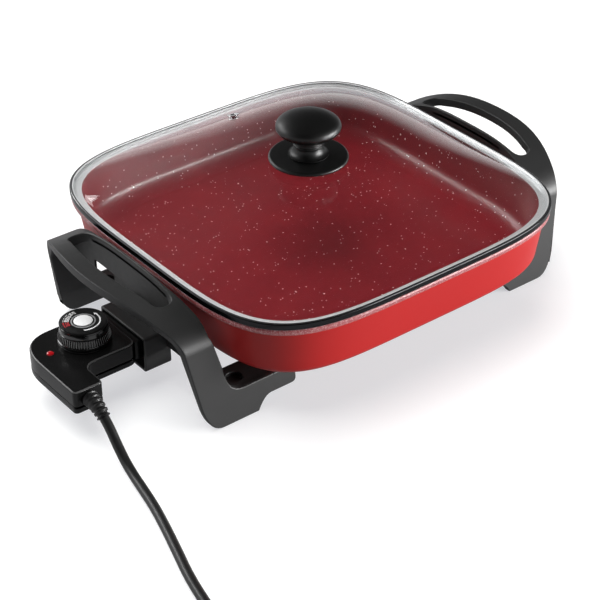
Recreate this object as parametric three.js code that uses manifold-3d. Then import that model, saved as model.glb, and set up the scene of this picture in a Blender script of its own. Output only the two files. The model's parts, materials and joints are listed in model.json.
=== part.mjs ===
// Electric pan with a lift-off glass lid, two handles that are also its feet and a plug-in control.
// Millimetres, +Z up, worktop at z = 0, +X towards the plain handle, -Y towards the cord.
import * as THREE from 'three';
import { mergeVertices } from 'three/addons/utils/BufferGeometryUtils.js';
import Module from 'manifold-3d';

const wasm = await Module();
wasm.setup();

// Shared values
const seatGap = 0.3;
const cutOverrun = 2;
const weldDistance = 0.0001;
const outlineSteps = 48;
const roundSteps = 24;
const pinSteps = 12;
const filletSteps = 3;
const sharpestTurnShare = 0.5;

// Pan
const panLift = 42;
const panFloor = 4.5;
const panWall = 3;
const panMouthHalfX = 146.5;
const panMouthHalfY = 144.5;
const panTaperAlong = 8;
const panTaperAcross = 6;
const panBasePower = 4.8;
const panMouthPower = 4.4;
const panBaseFillet = 8;
const panFloorFillet = 13;
const lipOut = 3;
const lipHeight = 4.4;
const panDepth = 40.3;
const postSetIn = 46.5;
const postSide = 80;
const postRadius = 5.5;
const postBore = 2.3;
const postBoreDepth = 14;

// Heating element under the pan floor
const elementRadius = 4;
const elementInsidePosts = 12;
const elementPower = 4;
const elementSpread = 13;
const elementSetIn = 24.5;
const elementSteps = 64;
const elementSides = 8;
const elementPoints = 21;
const leadInShares = [0.15, 0.35, 0.6, 0.85];
const leadInRiseShares = [0, 0.15, 0.75, 1];
const pinRadius = 2.2;
const pinReachOut = 13.5;
const insulatorRadius = 4.2;
const insulatorLength = 8;
const wellLength = 40;
const wellHalfWidth = 7;
const wellDrop = 7;
const wellSetIn = 14.5;
const wellBore = 3.6;

// Handles: a bent plate with a grip slot, two legs and a fixing shelf on each leg.
// Their reaches run outwards from the pan's mouth, so what is under the pan is negative.
const handleReach = 51;
const handleCrown = 95;
const archPastPost = 10;
const handleArchDrop = 25;
const handleArchPower = 3;
const plateThickness = 7;
const legThickness = 5;
const legPastPost = 8.5;
const legTopHeight = 64;
const footPastPost = 17;
const bendBeforePost = 1;
const gripArcRadius = 185;
const gripInner = 12;
const gripInnerFlatHalf = 42;
const gripRootInner = 7;
const rootBeforePost = 6;
const slotInner = 14;
const slotOuter = 37.5;
const slotHalf = 58;
const slotEndRadius = 9;
const archSteps = 9;
const bendSteps = 4;
const arcSteps = 16;
const footInner = -25.5;
const footOuter = 4.5;
const footCorner = 16;
const kneeReach = 20.5;
const kneeHeight = 19;
const legTopReach = 32.5;
const legMaskHeight = 71;
const legInnerTop = 6.5;
const legInnerMid = 0.5;
const legInnerMidHeight = 46;
const notchCorner = -1.5;
const notchInner = -14.5;
const shelfInner = -59.5;
const shelfOuter = -3.5;
const shelfTop = 24;
const shelfThickness = 4;
const shelfBeforePost = 14;
const skirtBottom = 10;
const skirtRise = -37.5;
const skirtCorner = 4;
const pocketReach = -16.5;
const pocketRadius = 6;
const pocketDepth = 3;
const guardThickness = 2;
const guardBottom = 70.5;
const wingInner = 46;
const wingBottom = 50;

// Socket shroud of the handle that takes the control
const shroudReach = 22.5;
const shroudHalf = 28;
const shroudBottom = 15.5;
const shroudTop = 44;
const shroudWall = 2.2;
const webInner = 0.5;
const webThickness = 3;
const webBottom = 30;
const webTop = 46;
const webWindowHalf = 21;
const webMiddleHalf = 38;
const webMiddleTop = 70;

// Handle screws
const screwHeadRadius = 4.4;
const screwHeadHeight = 3;
const screwShankRadius = 2;
const screwReachIn = 10;
const screwHoleRadius = 2.5;

// Lid
const bandOverLip = 0.5;
const bandSheet = 0.6;
const bandTopLip = 2.6;
const bandFootLip = 8;
const glassThickness = 3.2;
const glassFlange = 4.4;
const glassRise = 24.5;
const glassSteepness = 2.6;
const glassShares = [1, 0.96, 0.9, 0.8, 0.66, 0.46, 0.22];
const glassBore = 4.5;
const ventX = 13.5;
const ventSetIn = 36;
const ventBore = 2;
const ventHole = 3;
const ventSeat = 0.35;
const eyeletFlange = 4.6;
const eyeletLip = 0.8;

// Lid knob
const skirtDiscRadius = 29.8;
const skirtDiscTopRadius = 29.2;
const skirtDiscHeight = 5.7;
const skirtDiscFootRadius = 11;
const skirtDiscEdge = 2.8;
const collarRadius = 15.2;
const collarHeight = 6.5;
const collarRim = 1.4;
const neckRadius = 11.8;
const neckHeight = 8;
const headRadius = 24.2;
const headHeight = 18.4;
const headShares = [
  [0.49, 0], [0.7, 0.087], [0.89, 0.222], [0.98, 0.358], [1, 0.466], [0.967, 0.602], [0.861, 0.737],
  [0.647, 0.873], [0.404, 0.954], [0.168, 0.992],
];
const knobBore = 2.6;
const knobBoreDepth = 12;
const knobScrewRadius = 2.1;
const knobScrewHead = 5.5;
const knobScrewHeadHeight = 2.6;
const washerRadius = 9;
const washerThickness = 1.5;

// Control housing, in a frame that points away from the pan
const controlTop = 43;
const controlBottom = 25;
const controlSplit = 29.5;
const controlWall = 2;
const controlSetOut = 27.5;
const armHalf = 26;
const armLength = 43;
const controlLength = 66;
const bodyFront = 50;
const housingCorner = 7;
const backCornerAlong = 26;
const backCornerAcross = 30;
const housingSteps = 6;
const innerCorner = 9;
const controlAxis = 34;
const dialSetIn = 26;
const lensSetIn = 54;
const screwBossRadius = 3.2;
const housingScrewRadius = 1.3;
const housingScrewHead = 2.6;
const housingScrewRecess = 2;
const housingScrewLength = 12;

// Dial
const bossRadius = 19;
const bossHeight = 1.6;
const dialRadius = 17.2;
const dialBaseRadius = 18.4;
const dialHeight = 13.2;
const dialSkirtShares = [0, 0.14, 0.15, 0.5, 0.51, 1];
const dialWall = 2;
const plateRadius = 16.2;
const dialPlateSeat = 0.1;
const dialPlateThickness = 0.5;
const capRadius = 6.8;
const capHeight = 1.2;
const shaftRadius = 3;
const shaftBoreClearance = 0.06;
const shaftHoleClearance = 0.5;

// Thermostat and contacts inside the control
const noseHalf = 23;
const noseBottom = 26.5;
const noseTop = 41;
const rodRadius = 3;
const rodSetIn = 49.5;
const rodInset = 10;
const sleeveRadius = 3.6;
const sleeveInset = 7;
const sleeveSetIn = 2;
const frameHalfLength = 8;
const frameHalfWidth = 9;
const frameThickness = 1.5;
const bladeHalfWidth = 3;
const bladeThickness = 0.6;
const bladeLength = 26;
const lensRadius = 2.6;
const lensHeight = 1.2;
const lensTopShare = 0.6;
const lampRadius = 2;
const lampLength = 8;
const clampHalfLength = 7;
const clampWidth = 4;
const clampThickness = 3;

// Strain relief and cord
const cordRadius = 3.5;
const cordSides = 8;
const cordSteps = 30;
const reliefNeckRadius = 4;
const reliefNeckLength = 5;
const reliefRootRadius = 6.2;
const reliefTipRadius = 4.8;
const reliefRibs = 5;
const reliefRibDepth = 1.1;
const reliefForward = 16;
const reliefDrop = 6.5;
const reliefSteps = 20;
const reliefSetIn = 54;
const clearAbove = 0.1;
const coilX = -293;
const coilY = -279;
const coilRadius = 45;
const coilPitch = 7.6;
const coilTurns = 3.5;
const coilStepsPerTurn = 24;
const coilSides = 6;
const coilTail = 30;
const tieWidth = 6;
const tieThickness = 0.6;
const tieTurn = 0.25;
const tieHumpTurns = 0.1;

// Plug
const plugLength = 40;
const plugHalfWidth = 17;
const plugHalfHeight = 8;
const plugNeckHalf = 7;
const plugNeckShare = 0.35;
const plugPinRadius = 2.4;
const plugPinLength = 19;
const plugPinSpacing = 9.5;
const plugEarthShift = 3;

// Heights and places that follow from the sizes above
const handleArchHalf = postSide + archPastPost;
const legTopSide = postSide + legPastPost;
const legFootSide = postSide + footPastPost;
const handleBendStart = postSide - bendBeforePost;
const gripRootSide = postSide - rootBeforePost;
const shelfDepthSide = postSide - shelfBeforePost;
const panBaseHalfX = panMouthHalfX - panTaperAlong;
const panBaseHalfY = panMouthHalfY - panTaperAcross;
const postReach = panMouthHalfX - postSetIn;
const elementEnd = panMouthHalfX - elementSetIn;
const elementHalf = postReach - elementInsidePosts;
const pinTip = panMouthHalfX + pinReachOut;
const wellOuterEnd = panMouthHalfX - wellSetIn;
const rodTip = panMouthHalfX - rodSetIn;
const armInner = panMouthHalfX + controlSetOut;
const armBodyEdge = armInner + armLength;
const controlReach = armInner + controlLength;
const dialPlace = armInner + dialSetIn;
const lensPlace = armInner + lensSetIn;
const reliefPlace = armInner + reliefSetIn;
const rodInnerEnd = armInner + rodInset;
const nosePlug = panMouthHalfX + webInner + webThickness + seatGap;
const sleeveStart = nosePlug + sleeveSetIn;
const sleeveInnerEnd = armInner + sleeveInset;
const bandHalfX = panMouthHalfX + lipOut + bandOverLip;
const bandHalfY = panMouthHalfY + lipOut + bandOverLip;
const ventY = bandHalfY - ventSetIn;
const glassInset = bandSheet + seatGap;
const bandHeight = glassInset * 2 + glassThickness;
const lipTop = panLift + panDepth + lipHeight;
const lipFoot = panLift + panDepth;
const innerFloor = panLift + panFloor;
const bandFoot = lipTop + seatGap;
const bandTop = bandFoot + bandHeight;
const glassEdgeFoot = bandFoot + bandSheet + seatGap;
const elementHeight = panLift - seatGap - elementRadius;
const applianceShift = (controlReach - panMouthHalfX - handleReach) / 2;
const glassCentreTop = glassEdgeFoot + glassThickness + glassRise;
const coilHeight = cordRadius + clearAbove;
const layerRise = coilPitch;

// Materials
function paint(color, roughness, metalness) {
  return new THREE.MeshStandardMaterial({ color, roughness, metalness });
}
const redPan = paint(0xb01512, 0.35, 0.3);
const blackPlastic = paint(0x2b2c2d, 0.6, 0);
const glossBlack = paint(0x0b0b0c, 0.18, 0);
const controlPlastic = paint(0x161617, 0.4, 0);
const steel = paint(0xc4c6c8, 0.25, 1);
const brass = paint(0xb08b4a, 0.35, 1);
const ceramic = paint(0xe4ded0, 0.7, 0);
const aluminium = paint(0xa7a9ac, 0.45, 1);
const redLens = paint(0xd81818, 0.2, 0);
const silverPaint = paint(0xe6e6e6, 0.4, 0.2);
const cordRubber = paint(0x141415, 0.6, 0);
const clearGlass = paint(0xeef4f4, 0.05, 0);
clearGlass.transparent = true;
clearGlass.opacity = 0.3;

// A closed mesh as a solid that can be joined and cut.
function solid(geometry) {
  const bare = new THREE.BufferGeometry();
  bare.setAttribute('position', geometry.getAttribute('position').clone());
  if (geometry.index) bare.setIndex(geometry.index.clone());
  const merged = mergeVertices(bare, weldDistance);
  return new wasm.Manifold(new wasm.Mesh({
    numProp: 3,
    vertProperties: new Float32Array(merged.getAttribute('position').array),
    triVerts: new Uint32Array(merged.index.array),
  }));
}

// A joined or cut solid as a drawable geometry.
function geometryOf(shape) {
  const { vertProperties, triVerts } = shape.getMesh();
  const indexed = new THREE.BufferGeometry();
  indexed.setAttribute('position', new THREE.BufferAttribute(new Float32Array(vertProperties), 3));
  indexed.setIndex(new THREE.BufferAttribute(new Uint32Array(triVerts), 1));
  const faceted = indexed.toNonIndexed();
  faceted.computeVertexNormals();
  return faceted;
}

const join = (...shapes) => shapes.reduce((all, shape) => all.add(shape));
const cut = (shape, ...tools) => tools.reduce((left, tool) => left.subtract(tool), shape);

// Skins a list of rings that have as many points each. Open ends are closed by a fan.
function loft(rings, closesOnItself = false) {
  const count = rings[0].length;
  const positions = rings.flat().flatMap((point) => [point.x, point.y, point.z]);
  const faces = [];
  const bands = closesOnItself ? rings.length : rings.length - 1;
  for (let ring = 0; ring < bands; ring += 1) {
    const low = ring * count;
    const high = ((ring + 1) % rings.length) * count;
    for (let side = 0; side < count; side += 1) {
      const next = (side + 1) % count;
      faces.push(low + side, low + next, high + next, low + side, high + next, high + side);
    }
  }
  if (!closesOnItself) {
    const last = (rings.length - 1) * count;
    for (const [start, turned] of [[0, true], [last, false]]) {
      const middle = positions.length / 3;
      const centre = rings[start / count].reduce((sum, point) => sum.add(point), new THREE.Vector3());
      centre.divideScalar(count);
      positions.push(centre.x, centre.y, centre.z);
      for (let side = 0; side < count; side += 1) {
        const here = start + side;
        const next = start + ((side + 1) % count);
        faces.push(middle, turned ? next : here, turned ? here : next);
      }
    }
  }
  const geometry = new THREE.BufferGeometry();
  geometry.setAttribute('position', new THREE.Float32BufferAttribute(positions, 3));
  geometry.setIndex(faces);
  return geometry;
}

// A rounded-square ring: the higher the power, the squarer its corners.
function squareRing(halfX, halfY, power, height, steps = outlineSteps) {
  return Array.from({ length: steps }, (_, step) => {
    const angle = (step / steps) * Math.PI * 2;
    const along = Math.cos(angle);
    const across = Math.sin(angle);
    return new THREE.Vector3(
      halfX * Math.sign(along) * Math.abs(along) ** (2 / power),
      halfY * Math.sign(across) * Math.abs(across) ** (2 / power),
      height,
    );
  });
}

// A turned body about a standing axis, from a profile of [radius, height] that runs upwards.
function turned(profile, x = 0, y = 0, steps = roundSteps, closesOnItself = false) {
  const rings = profile.map(([radius, height]) => squareRing(radius, radius, 2, height, steps));
  return loft(rings, closesOnItself).translate(x, y, 0);
}

// A round bar along X from one reach to another.
function barAlongX(radius, from, to, y, z, steps = pinSteps) {
  return turned([[radius, from], [radius, to]], 0, 0, steps).rotateY(Math.PI / 2).translate(0, y, z);
}

// A round bar along Y from one side to another.
function barAlongY(radius, from, to, x, z, steps = pinSteps) {
  return turned([[radius, from], [radius, to]], 0, 0, steps).rotateX(-Math.PI / 2).translate(x, 0, z);
}

function block(lowX, highX, lowY, highY, lowZ, highZ) {
  const box = new THREE.BoxGeometry(highX - lowX, highY - lowY, highZ - lowZ);
  return box.translate((lowX + highX) / 2, (lowY + highY) / 2, (lowZ + highZ) / 2);
}

const shapeOf = (points) => new THREE.Shape(points.map(([x, y]) => new THREE.Vector2(x, y)));

// A plan outline raised from one height to another.
function raised(shape, low, high, curveSegments = bendSteps) {
  const options = { depth: high - low, bevelEnabled: false, curveSegments };
  return new THREE.ExtrudeGeometry(shape, options).translate(0, 0, low);
}

// A side outline of (y, z) carried along X.
function carriedAlongX(shape, low, high) {
  const turn = new THREE.Matrix4().makeBasis(
    new THREE.Vector3(0, 1, 0), new THREE.Vector3(0, 0, 1), new THREE.Vector3(1, 0, 0));
  const options = { depth: high - low, bevelEnabled: false };
  return new THREE.ExtrudeGeometry(shape, options).applyMatrix4(turn).translate(low, 0, 0);
}

// A front outline of (x, z) carried along Y, the same distance to both sides.
function carriedAlongY(shape, half) {
  const turn = new THREE.Matrix4().makeBasis(
    new THREE.Vector3(1, 0, 0), new THREE.Vector3(0, 0, 1), new THREE.Vector3(0, -1, 0));
  const options = { depth: half * 2, bevelEnabled: false, curveSegments: bendSteps };
  return new THREE.ExtrudeGeometry(shape, options).applyMatrix4(turn).translate(0, half, 0);
}

// The same outline moved in by a distance, each point along the mean of its two sides' normals.
function inset(points, distance) {
  return points.map((point, index) => {
    const before = points[(index + points.length - 1) % points.length];
    const after = points[(index + 1) % points.length];
    const first = new THREE.Vector2().subVectors(point, before).normalize();
    const second = new THREE.Vector2().subVectors(after, point).normalize();
    const mean = new THREE.Vector2(-(first.y + second.y), first.x + second.x).normalize();
    const reach = distance / Math.max(mean.x * -first.y + mean.y * first.x, sharpestTurnShare);
    return new THREE.Vector2(point.x + mean.x * reach, point.y + mean.y * reach);
  });
}

// A tube through a list of points, with a radius for each, that never stands upright.
function tube(points, radiusAt, sides) {
  const rings = points.map((point, index) => {
    const before = points[Math.max(index - 1, 0)];
    const after = points[Math.min(index + 1, points.length - 1)];
    const ahead = new THREE.Vector3().subVectors(after, before).normalize();
    const side = new THREE.Vector3().crossVectors(ahead, new THREE.Vector3(0, 0, 1)).normalize();
    const up = new THREE.Vector3().crossVectors(side, ahead);
    return Array.from({ length: sides }, (_, step) => {
      const angle = (step / sides) * Math.PI * 2;
      const radius = radiusAt(index / (points.length - 1));
      return point.clone().addScaledVector(up, Math.cos(angle) * radius)
        .addScaledVector(side, Math.sin(angle) * radius);
    });
  });
  return loft(rings);
}

const pan = new THREE.Group();
const appliance = new THREE.Group();
const lid = new THREE.Group();
const control = new THREE.Group();
appliance.position.x = applianceShift;
control.rotation.z = Math.PI;
appliance.add(lid, control);
pan.add(appliance);

function piece(name, shape, material, group = appliance) {
  const geometry = shape instanceof wasm.Manifold ? geometryOf(shape) : shape;
  const mesh = new THREE.Mesh(geometry, material);
  mesh.name = name;
  group.add(mesh);
}

// Pan shell

function panOutline(height, insetBy) {
  const share = (height - panLift) / panDepth;
  const halfX = panBaseHalfX + (panMouthHalfX - panBaseHalfX) * share;
  const halfY = panBaseHalfY + (panMouthHalfY - panBaseHalfY) * share;
  const power = panBasePower + (panMouthPower - panBasePower) * Math.min(share, 1);
  return squareRing(halfX - insetBy, halfY - insetBy, power, height);
}

function panShell() {
  const rings = [];
  for (let step = 0; step <= filletSteps; step += 1) {
    const turn = (step / filletSteps) * (Math.PI / 2);
    const insetBy = panBaseFillet * (1 - Math.sin(turn));
    rings.push(panOutline(panLift + panBaseFillet * (1 - Math.cos(turn)), insetBy));
  }
  rings.push(panOutline(lipFoot, 0));
  const lipHalfX = panMouthHalfX + lipOut;
  const lipHalfY = panMouthHalfY + lipOut;
  rings.push(squareRing(lipHalfX, lipHalfY, panMouthPower, lipFoot));
  rings.push(squareRing(lipHalfX, lipHalfY, panMouthPower, lipTop));
  rings.push(squareRing(panMouthHalfX - panWall, panMouthHalfY - panWall, panMouthPower, lipTop));
  for (let step = filletSteps; step >= 0; step -= 1) {
    const turn = (step / filletSteps) * (Math.PI / 2);
    const insetBy = panWall + panFloorFillet * (1 - Math.sin(turn));
    rings.push(panOutline(innerFloor + panFloorFillet * (1 - Math.cos(turn)), insetBy));
  }
  return solid(loft(rings));
}

const corners = [[1, 1], [1, -1], [-1, -1], [-1, 1]];

function panWithPosts() {
  let shell = panShell();
  const postFoot = shelfTop + seatGap;
  for (const [signX, signY] of corners) {
    const place = [signX * postReach, signY * postSide, pinSteps];
    const post = [[postRadius, postFoot], [postRadius, panLift + panFloor / 2]];
    const bore = [[postBore, postFoot - cutOverrun], [postBore, postFoot + postBoreDepth]];
    shell = cut(join(shell, solid(turned(post, ...place))), solid(turned(bore, ...place)));
  }
  return shell;
}

piece('pan_shell', panWithPosts(), redPan);

// Heating element, in the control's frame so that its ends point at the socket

function elementPath() {
  const pinHeight = controlAxis;
  const start = Math.asin((elementSpread / elementHalf) ** (elementPower / 2));
  const loop = [];
  for (let point = 1; point < elementPoints - 1; point += 1) {
    const angle = start + (point / (elementPoints - 1)) * (Math.PI * 2 - start * 2);
    const along = Math.cos(angle);
    const across = Math.sin(angle);
    loop.push(new THREE.Vector3(
      elementHalf * Math.sign(along) * Math.abs(along) ** (2 / elementPower),
      elementHalf * Math.sign(across) * Math.abs(across) ** (2 / elementPower),
      elementHeight,
    ));
  }
  const leadIn = leadInShares.map((share, index) => new THREE.Vector3(
    elementEnd + (elementHalf + elementRadius - elementEnd) * share,
    elementSpread,
    pinHeight + (elementHeight - pinHeight) * leadInRiseShares[index],
  ));
  leadIn.unshift(new THREE.Vector3(elementEnd, elementSpread, pinHeight));
  const leadOut = leadIn.map((point) => new THREE.Vector3(point.x, -point.y, point.z)).reverse();
  return new THREE.CatmullRomCurve3([...leadIn, ...loop, ...leadOut]);
}

const ringShape = (radius, sides) => shapeOf(
  Array.from({ length: sides }, (_, side) => {
    const angle = (side / sides) * Math.PI * 2;
    return [radius * Math.cos(angle), radius * Math.sin(angle)];
  }));

piece('heating_element', new THREE.ExtrudeGeometry(ringShape(elementRadius, elementSides), {
  steps: elementSteps, bevelEnabled: false, extrudePath: elementPath(),
}), steel, control);

for (const [index, side] of [[1, 1], [2, -1]]) {
  const y = side * elementSpread;
  const insulatorStart = elementEnd + seatGap;
  const insulatorEnd = insulatorStart + insulatorLength;
  const boreRadius = pinRadius + seatGap;
  const bore = barAlongX(boreRadius, insulatorStart - cutOverrun, insulatorEnd + cutOverrun, y, controlAxis);
  const bead = barAlongX(insulatorRadius, insulatorStart, insulatorEnd, y, controlAxis);
  const pin = barAlongX(pinRadius, insulatorStart, pinTip, y, controlAxis);
  piece(`terminal_insulator_${index}`, cut(solid(bead), solid(bore)), ceramic, control);
  piece(`terminal_pin_${index}`, pin, steel, control);
}

const wellInnerEnd = wellOuterEnd - wellLength;
const wellFoot = controlAxis - wellDrop;
piece('sensor_well', cut(
  solid(block(wellInnerEnd, wellOuterEnd, -wellHalfWidth, wellHalfWidth, wellFoot, panLift - seatGap)),
  solid(barAlongX(wellBore, rodTip - seatGap, wellOuterEnd + cutOverrun, 0, controlAxis, roundSteps)),
), aluminium, control);

// Handles, each built on the side that points along +X

// Height of the handle's top face at a distance from its middle.
function crownHeight(side) {
  return handleCrown - handleArchDrop * (Math.abs(side) / handleArchHalf) ** handleArchPower;
}

// Distance of a leg's outer face from the middle at a height.
function legSide(height) {
  return legFootSide + (legTopSide - legFootSide) * (height / legTopHeight);
}

// The bent plate seen along X: crown, bend and leg on one side, mirrored to the other.
function staple() {
  const outer = [];
  for (let step = 0; step <= archSteps; step += 1) {
    const side = (step / archSteps) * handleBendStart;
    outer.push(new THREE.Vector2(side, crownHeight(side)));
  }
  const bend = new THREE.QuadraticBezierCurve(
    outer[outer.length - 1], new THREE.Vector2(legSide(legMaskHeight), legMaskHeight),
    new THREE.Vector2(legTopSide, legTopHeight));
  outer.push(...bend.getPoints(bendSteps).slice(1));
  outer.push(new THREE.Vector2(legFootSide, 0));
  const inner = [];
  for (let step = 0; step <= archSteps; step += 1) {
    const side = (step / archSteps) * (handleBendStart - legThickness);
    inner.push(new THREE.Vector2(side, crownHeight(side) - plateThickness));
  }
  inner.push(new THREE.Vector2(legTopSide - legThickness, legTopHeight - legThickness));
  inner.push(new THREE.Vector2(legFootSide - legThickness, 0));
  const half = [...outer, ...inner.reverse()];
  const whole = [
    ...outer.slice(1).reverse().map((point) => new THREE.Vector2(-point.x, point.y)),
    ...half.slice(0, outer.length),
    ...half.slice(outer.length),
    ...half.slice(outer.length, -1).reverse().map((point) => new THREE.Vector2(-point.x, point.y)),
  ];
  return solid(carriedAlongX(new THREE.Shape(whole.reverse()), shelfInner, handleReach + cutOverrun));
}

// Points of the grip's arc, at a distance inside its outer edge, over a half width.
function gripArc(insetBy, half) {
  const radius = gripArcRadius - insetBy;
  const centre = handleReach - gripArcRadius;
  return Array.from({ length: arcSteps + 1 }, (_, step) => {
    const side = half * (2 * (step / arcSteps) - 1);
    return [centre + Math.sqrt(radius ** 2 - side ** 2), side];
  });
}

function gripPlan() {
  const half = legFootSide + cutOverrun;
  const inner = [[shelfInner - cutOverrun, half], [shelfInner - cutOverrun, handleBendStart],
    [gripRootInner, handleBendStart], [gripRootInner, gripRootSide], [gripInner, gripInnerFlatHalf]];
  const mirrored = inner.map(([x, y]) => [x, -y]).reverse();
  const plan = shapeOf([...gripArc(0, half), ...inner, ...mirrored]);
  return solid(raised(plan, -cutOverrun, handleCrown + cutOverrun));
}

// The legs seen along Y: foot, knee, notch for the pan and shelf skirt.
function legFront() {
  const front = new THREE.Shape();
  const gripEdge = handleReach + cutOverrun;
  const ceiling = handleCrown + cutOverrun;
  front.moveTo(footInner, 0);
  front.lineTo(footOuter, 0);
  front.quadraticCurveTo(footCorner, 0, kneeReach, kneeHeight);
  front.lineTo(legTopReach, legMaskHeight);
  front.lineTo(gripEdge, legMaskHeight);
  front.lineTo(gripEdge, ceiling);
  front.lineTo(gripRootInner - cutOverrun, ceiling);
  front.lineTo(gripRootInner - cutOverrun, legMaskHeight);
  front.lineTo(legInnerTop, legMaskHeight);
  front.lineTo(legInnerMid, legInnerMidHeight);
  front.quadraticCurveTo(notchCorner, shelfTop, notchInner, shelfTop);
  front.lineTo(shelfInner, shelfTop);
  front.lineTo(shelfInner, skirtBottom + skirtCorner);
  front.quadraticCurveTo(shelfInner, skirtBottom, shelfInner + skirtCorner, skirtBottom);
  front.lineTo(skirtRise, skirtBottom);
  front.quadraticCurveTo((skirtRise + footInner) / 2, skirtBottom, footInner, 0);
  return solid(carriedAlongY(front, legFootSide + cutOverrun));
}

function slotCut() {
  const arc = gripArc(handleReach - slotOuter, slotHalf - slotEndRadius);
  const slot = new THREE.Shape();
  slot.moveTo(...arc[0]);
  for (const point of arc.slice(1)) slot.lineTo(...point);
  const [endX] = arc[arc.length - 1];
  const startSide = slotHalf - slotEndRadius;
  slot.quadraticCurveTo(endX, slotHalf, (endX + slotInner) / 2, slotHalf);
  slot.quadraticCurveTo(slotInner, slotHalf, slotInner, startSide);
  slot.lineTo(slotInner, -startSide);
  slot.quadraticCurveTo(slotInner, -slotHalf, (endX + slotInner) / 2, -slotHalf);
  slot.quadraticCurveTo(endX, -slotHalf, endX, -startSide);
  return solid(raised(slot, legTopHeight, handleCrown + cutOverrun));
}

function shelf(side) {
  const outerSide = legSide(shelfTop) - legThickness / 2;
  const low = Math.min(side * shelfDepthSide, side * outerSide);
  const high = Math.max(side * shelfDepthSide, side * outerSide);
  const under = shelfTop - shelfThickness;
  const plate = solid(block(shelfInner, shelfOuter, low, high, under, shelfTop));
  const through = [[screwHoleRadius, under - cutOverrun], [screwHoleRadius, shelfTop + cutOverrun]];
  const pocket = [[pocketRadius, shelfTop - pocketDepth], [pocketRadius, shelfTop + cutOverrun]];
  return cut(plate, solid(turned(through, -postSetIn, side * postSide, pinSteps)),
    solid(turned(pocket, pocketReach, side * postSide, pinSteps)));
}

// The skirt under the inner bar that keeps fingers off the hot wall.
function guard() {
  const half = handleBendStart;
  const top = (side) => crownHeight(side) - plateThickness / 2;
  const outline = [[-half, guardBottom], [half, guardBottom]];
  for (let step = archSteps; step >= -archSteps; step -= 1) {
    const side = (step / archSteps) * half;
    outline.push([side, top(side)]);
  }
  return solid(carriedAlongX(shapeOf(outline), gripInner, gripInner + guardThickness));
}

// The guard closes the bend beside each leg of the handle that takes the control.
function guardWing(sign) {
  const top = (side) => crownHeight(side) - plateThickness / 2;
  const inLeg = (height) => legSide(height) - legThickness / 2;
  const outline = [
    [wingInner, wingBottom], [inLeg(wingBottom), wingBottom], [inLeg(guardBottom), guardBottom],
    [handleBendStart, top(handleBendStart)], [wingInner, top(wingInner)],
  ].map(([side, height]) => [sign * side, height]);
  return solid(carriedAlongX(shapeOf(outline), gripInner, gripInner + guardThickness));
}

function handleBody() {
  const plate = staple().intersect(gripPlan()).intersect(legFront());
  return join(cut(plate, slotCut()), shelf(1), shelf(-1), guard());
}

// The shroud and its web between the legs, which stands higher in the middle.
function socketPart() {
  const outer = block(webInner, shroudReach, -shroudHalf, shroudHalf, shroudBottom, shroudTop);
  const hollow = block(webInner + webThickness, shroudReach + cutOverrun, shroudWall - shroudHalf,
    shroudHalf - shroudWall, shroudBottom + shroudWall, shroudTop - shroudWall);
  const window = block(webInner - cutOverrun, webInner + webThickness + cutOverrun, -webWindowHalf,
    webWindowHalf, shroudBottom + shroudWall, shroudTop - shroudWall);
  const webHalf = legSide(webTop) - legThickness / 2;
  const web = block(webInner, webInner + webThickness, -webHalf, webHalf, webBottom, webTop);
  const middle = block(webInner, webInner + webThickness, -webMiddleHalf, webMiddleHalf,
    shroudTop - shroudWall, webMiddleTop);
  const walls = join(solid(outer), solid(web), solid(middle), guardWing(1), guardWing(-1));
  return cut(walls, solid(hollow), solid(window));
}

const atMouth = (shape) => geometryOf(shape).translate(panMouthHalfX, 0, 0);
piece('handle_right', atMouth(handleBody()), blackPlastic);
piece('handle_left', atMouth(join(handleBody(), socketPart())).rotateZ(Math.PI), blackPlastic);

corners.forEach(([signX, signY], index) => {
  const headTop = shelfTop - shelfThickness - seatGap;
  const profile = [
    [screwHeadRadius, headTop - screwHeadHeight], [screwHeadRadius, headTop],
    [screwShankRadius, headTop], [screwShankRadius, shelfTop + screwReachIn],
  ];
  piece(`handle_screw_${index + 1}`, turned(profile, signX * postReach, signY * postSide, pinSteps), steel);
});

// Lid

function bandRing(insetBy, height) {
  return squareRing(bandHalfX - insetBy, bandHalfY - insetBy, panMouthPower, height);
}

piece('lid_band', loft([
  bandRing(0, bandFoot), bandRing(0, bandTop), bandRing(bandTopLip, bandTop),
  bandRing(bandTopLip, bandTop - bandSheet), bandRing(bandSheet, bandTop - bandSheet),
  bandRing(bandSheet, bandFoot + bandSheet), bandRing(bandFootLip, bandFoot + bandSheet),
  bandRing(bandFootLip, bandFoot),
], true), steel, lid);

const domeHalfX = bandHalfX - glassInset - glassFlange;
const domeHalfY = bandHalfY - glassInset - glassFlange;

// Height of the glass's top face at a share of the way out to its flange.
function glassHeight(share) {
  return glassEdgeFoot + glassThickness + glassRise * (1 - share ** glassSteepness);
}

function glassRing(share, drop) {
  const power = 2 + (panMouthPower - 2) * share;
  return squareRing(domeHalfX * share, domeHalfY * share, power, glassHeight(share) - drop);
}

function lidGlass() {
  const edge = (height) => squareRing(bandHalfX - glassInset, bandHalfY - glassInset, panMouthPower, height);
  const bore = (height) => squareRing(glassBore, glassBore, 2, height);
  const top = glassShares.map((share) => glassRing(share, 0));
  const under = glassShares.map((share) => glassRing(share, glassThickness)).reverse();
  const glass = loft([
    edge(glassEdgeFoot), edge(glassEdgeFoot + glassThickness), ...top, bore(glassCentreTop),
    bore(glassCentreTop - glassThickness), ...under,
  ], true);
  const drill = glassThickness + cutOverrun;
  const hole = turned([[ventHole, -drill], [ventHole, drill]], 0, 0, pinSteps);
  return cut(solid(glass), solid(seatedAtVent(hole)));
}

const ventShare = Math.max(ventX / domeHalfX, ventY / domeHalfY);
const ventTop = glassHeight(ventShare);
const ventSlope = glassRise * glassSteepness * ventShare ** (glassSteepness - 1) / domeHalfY;

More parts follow.
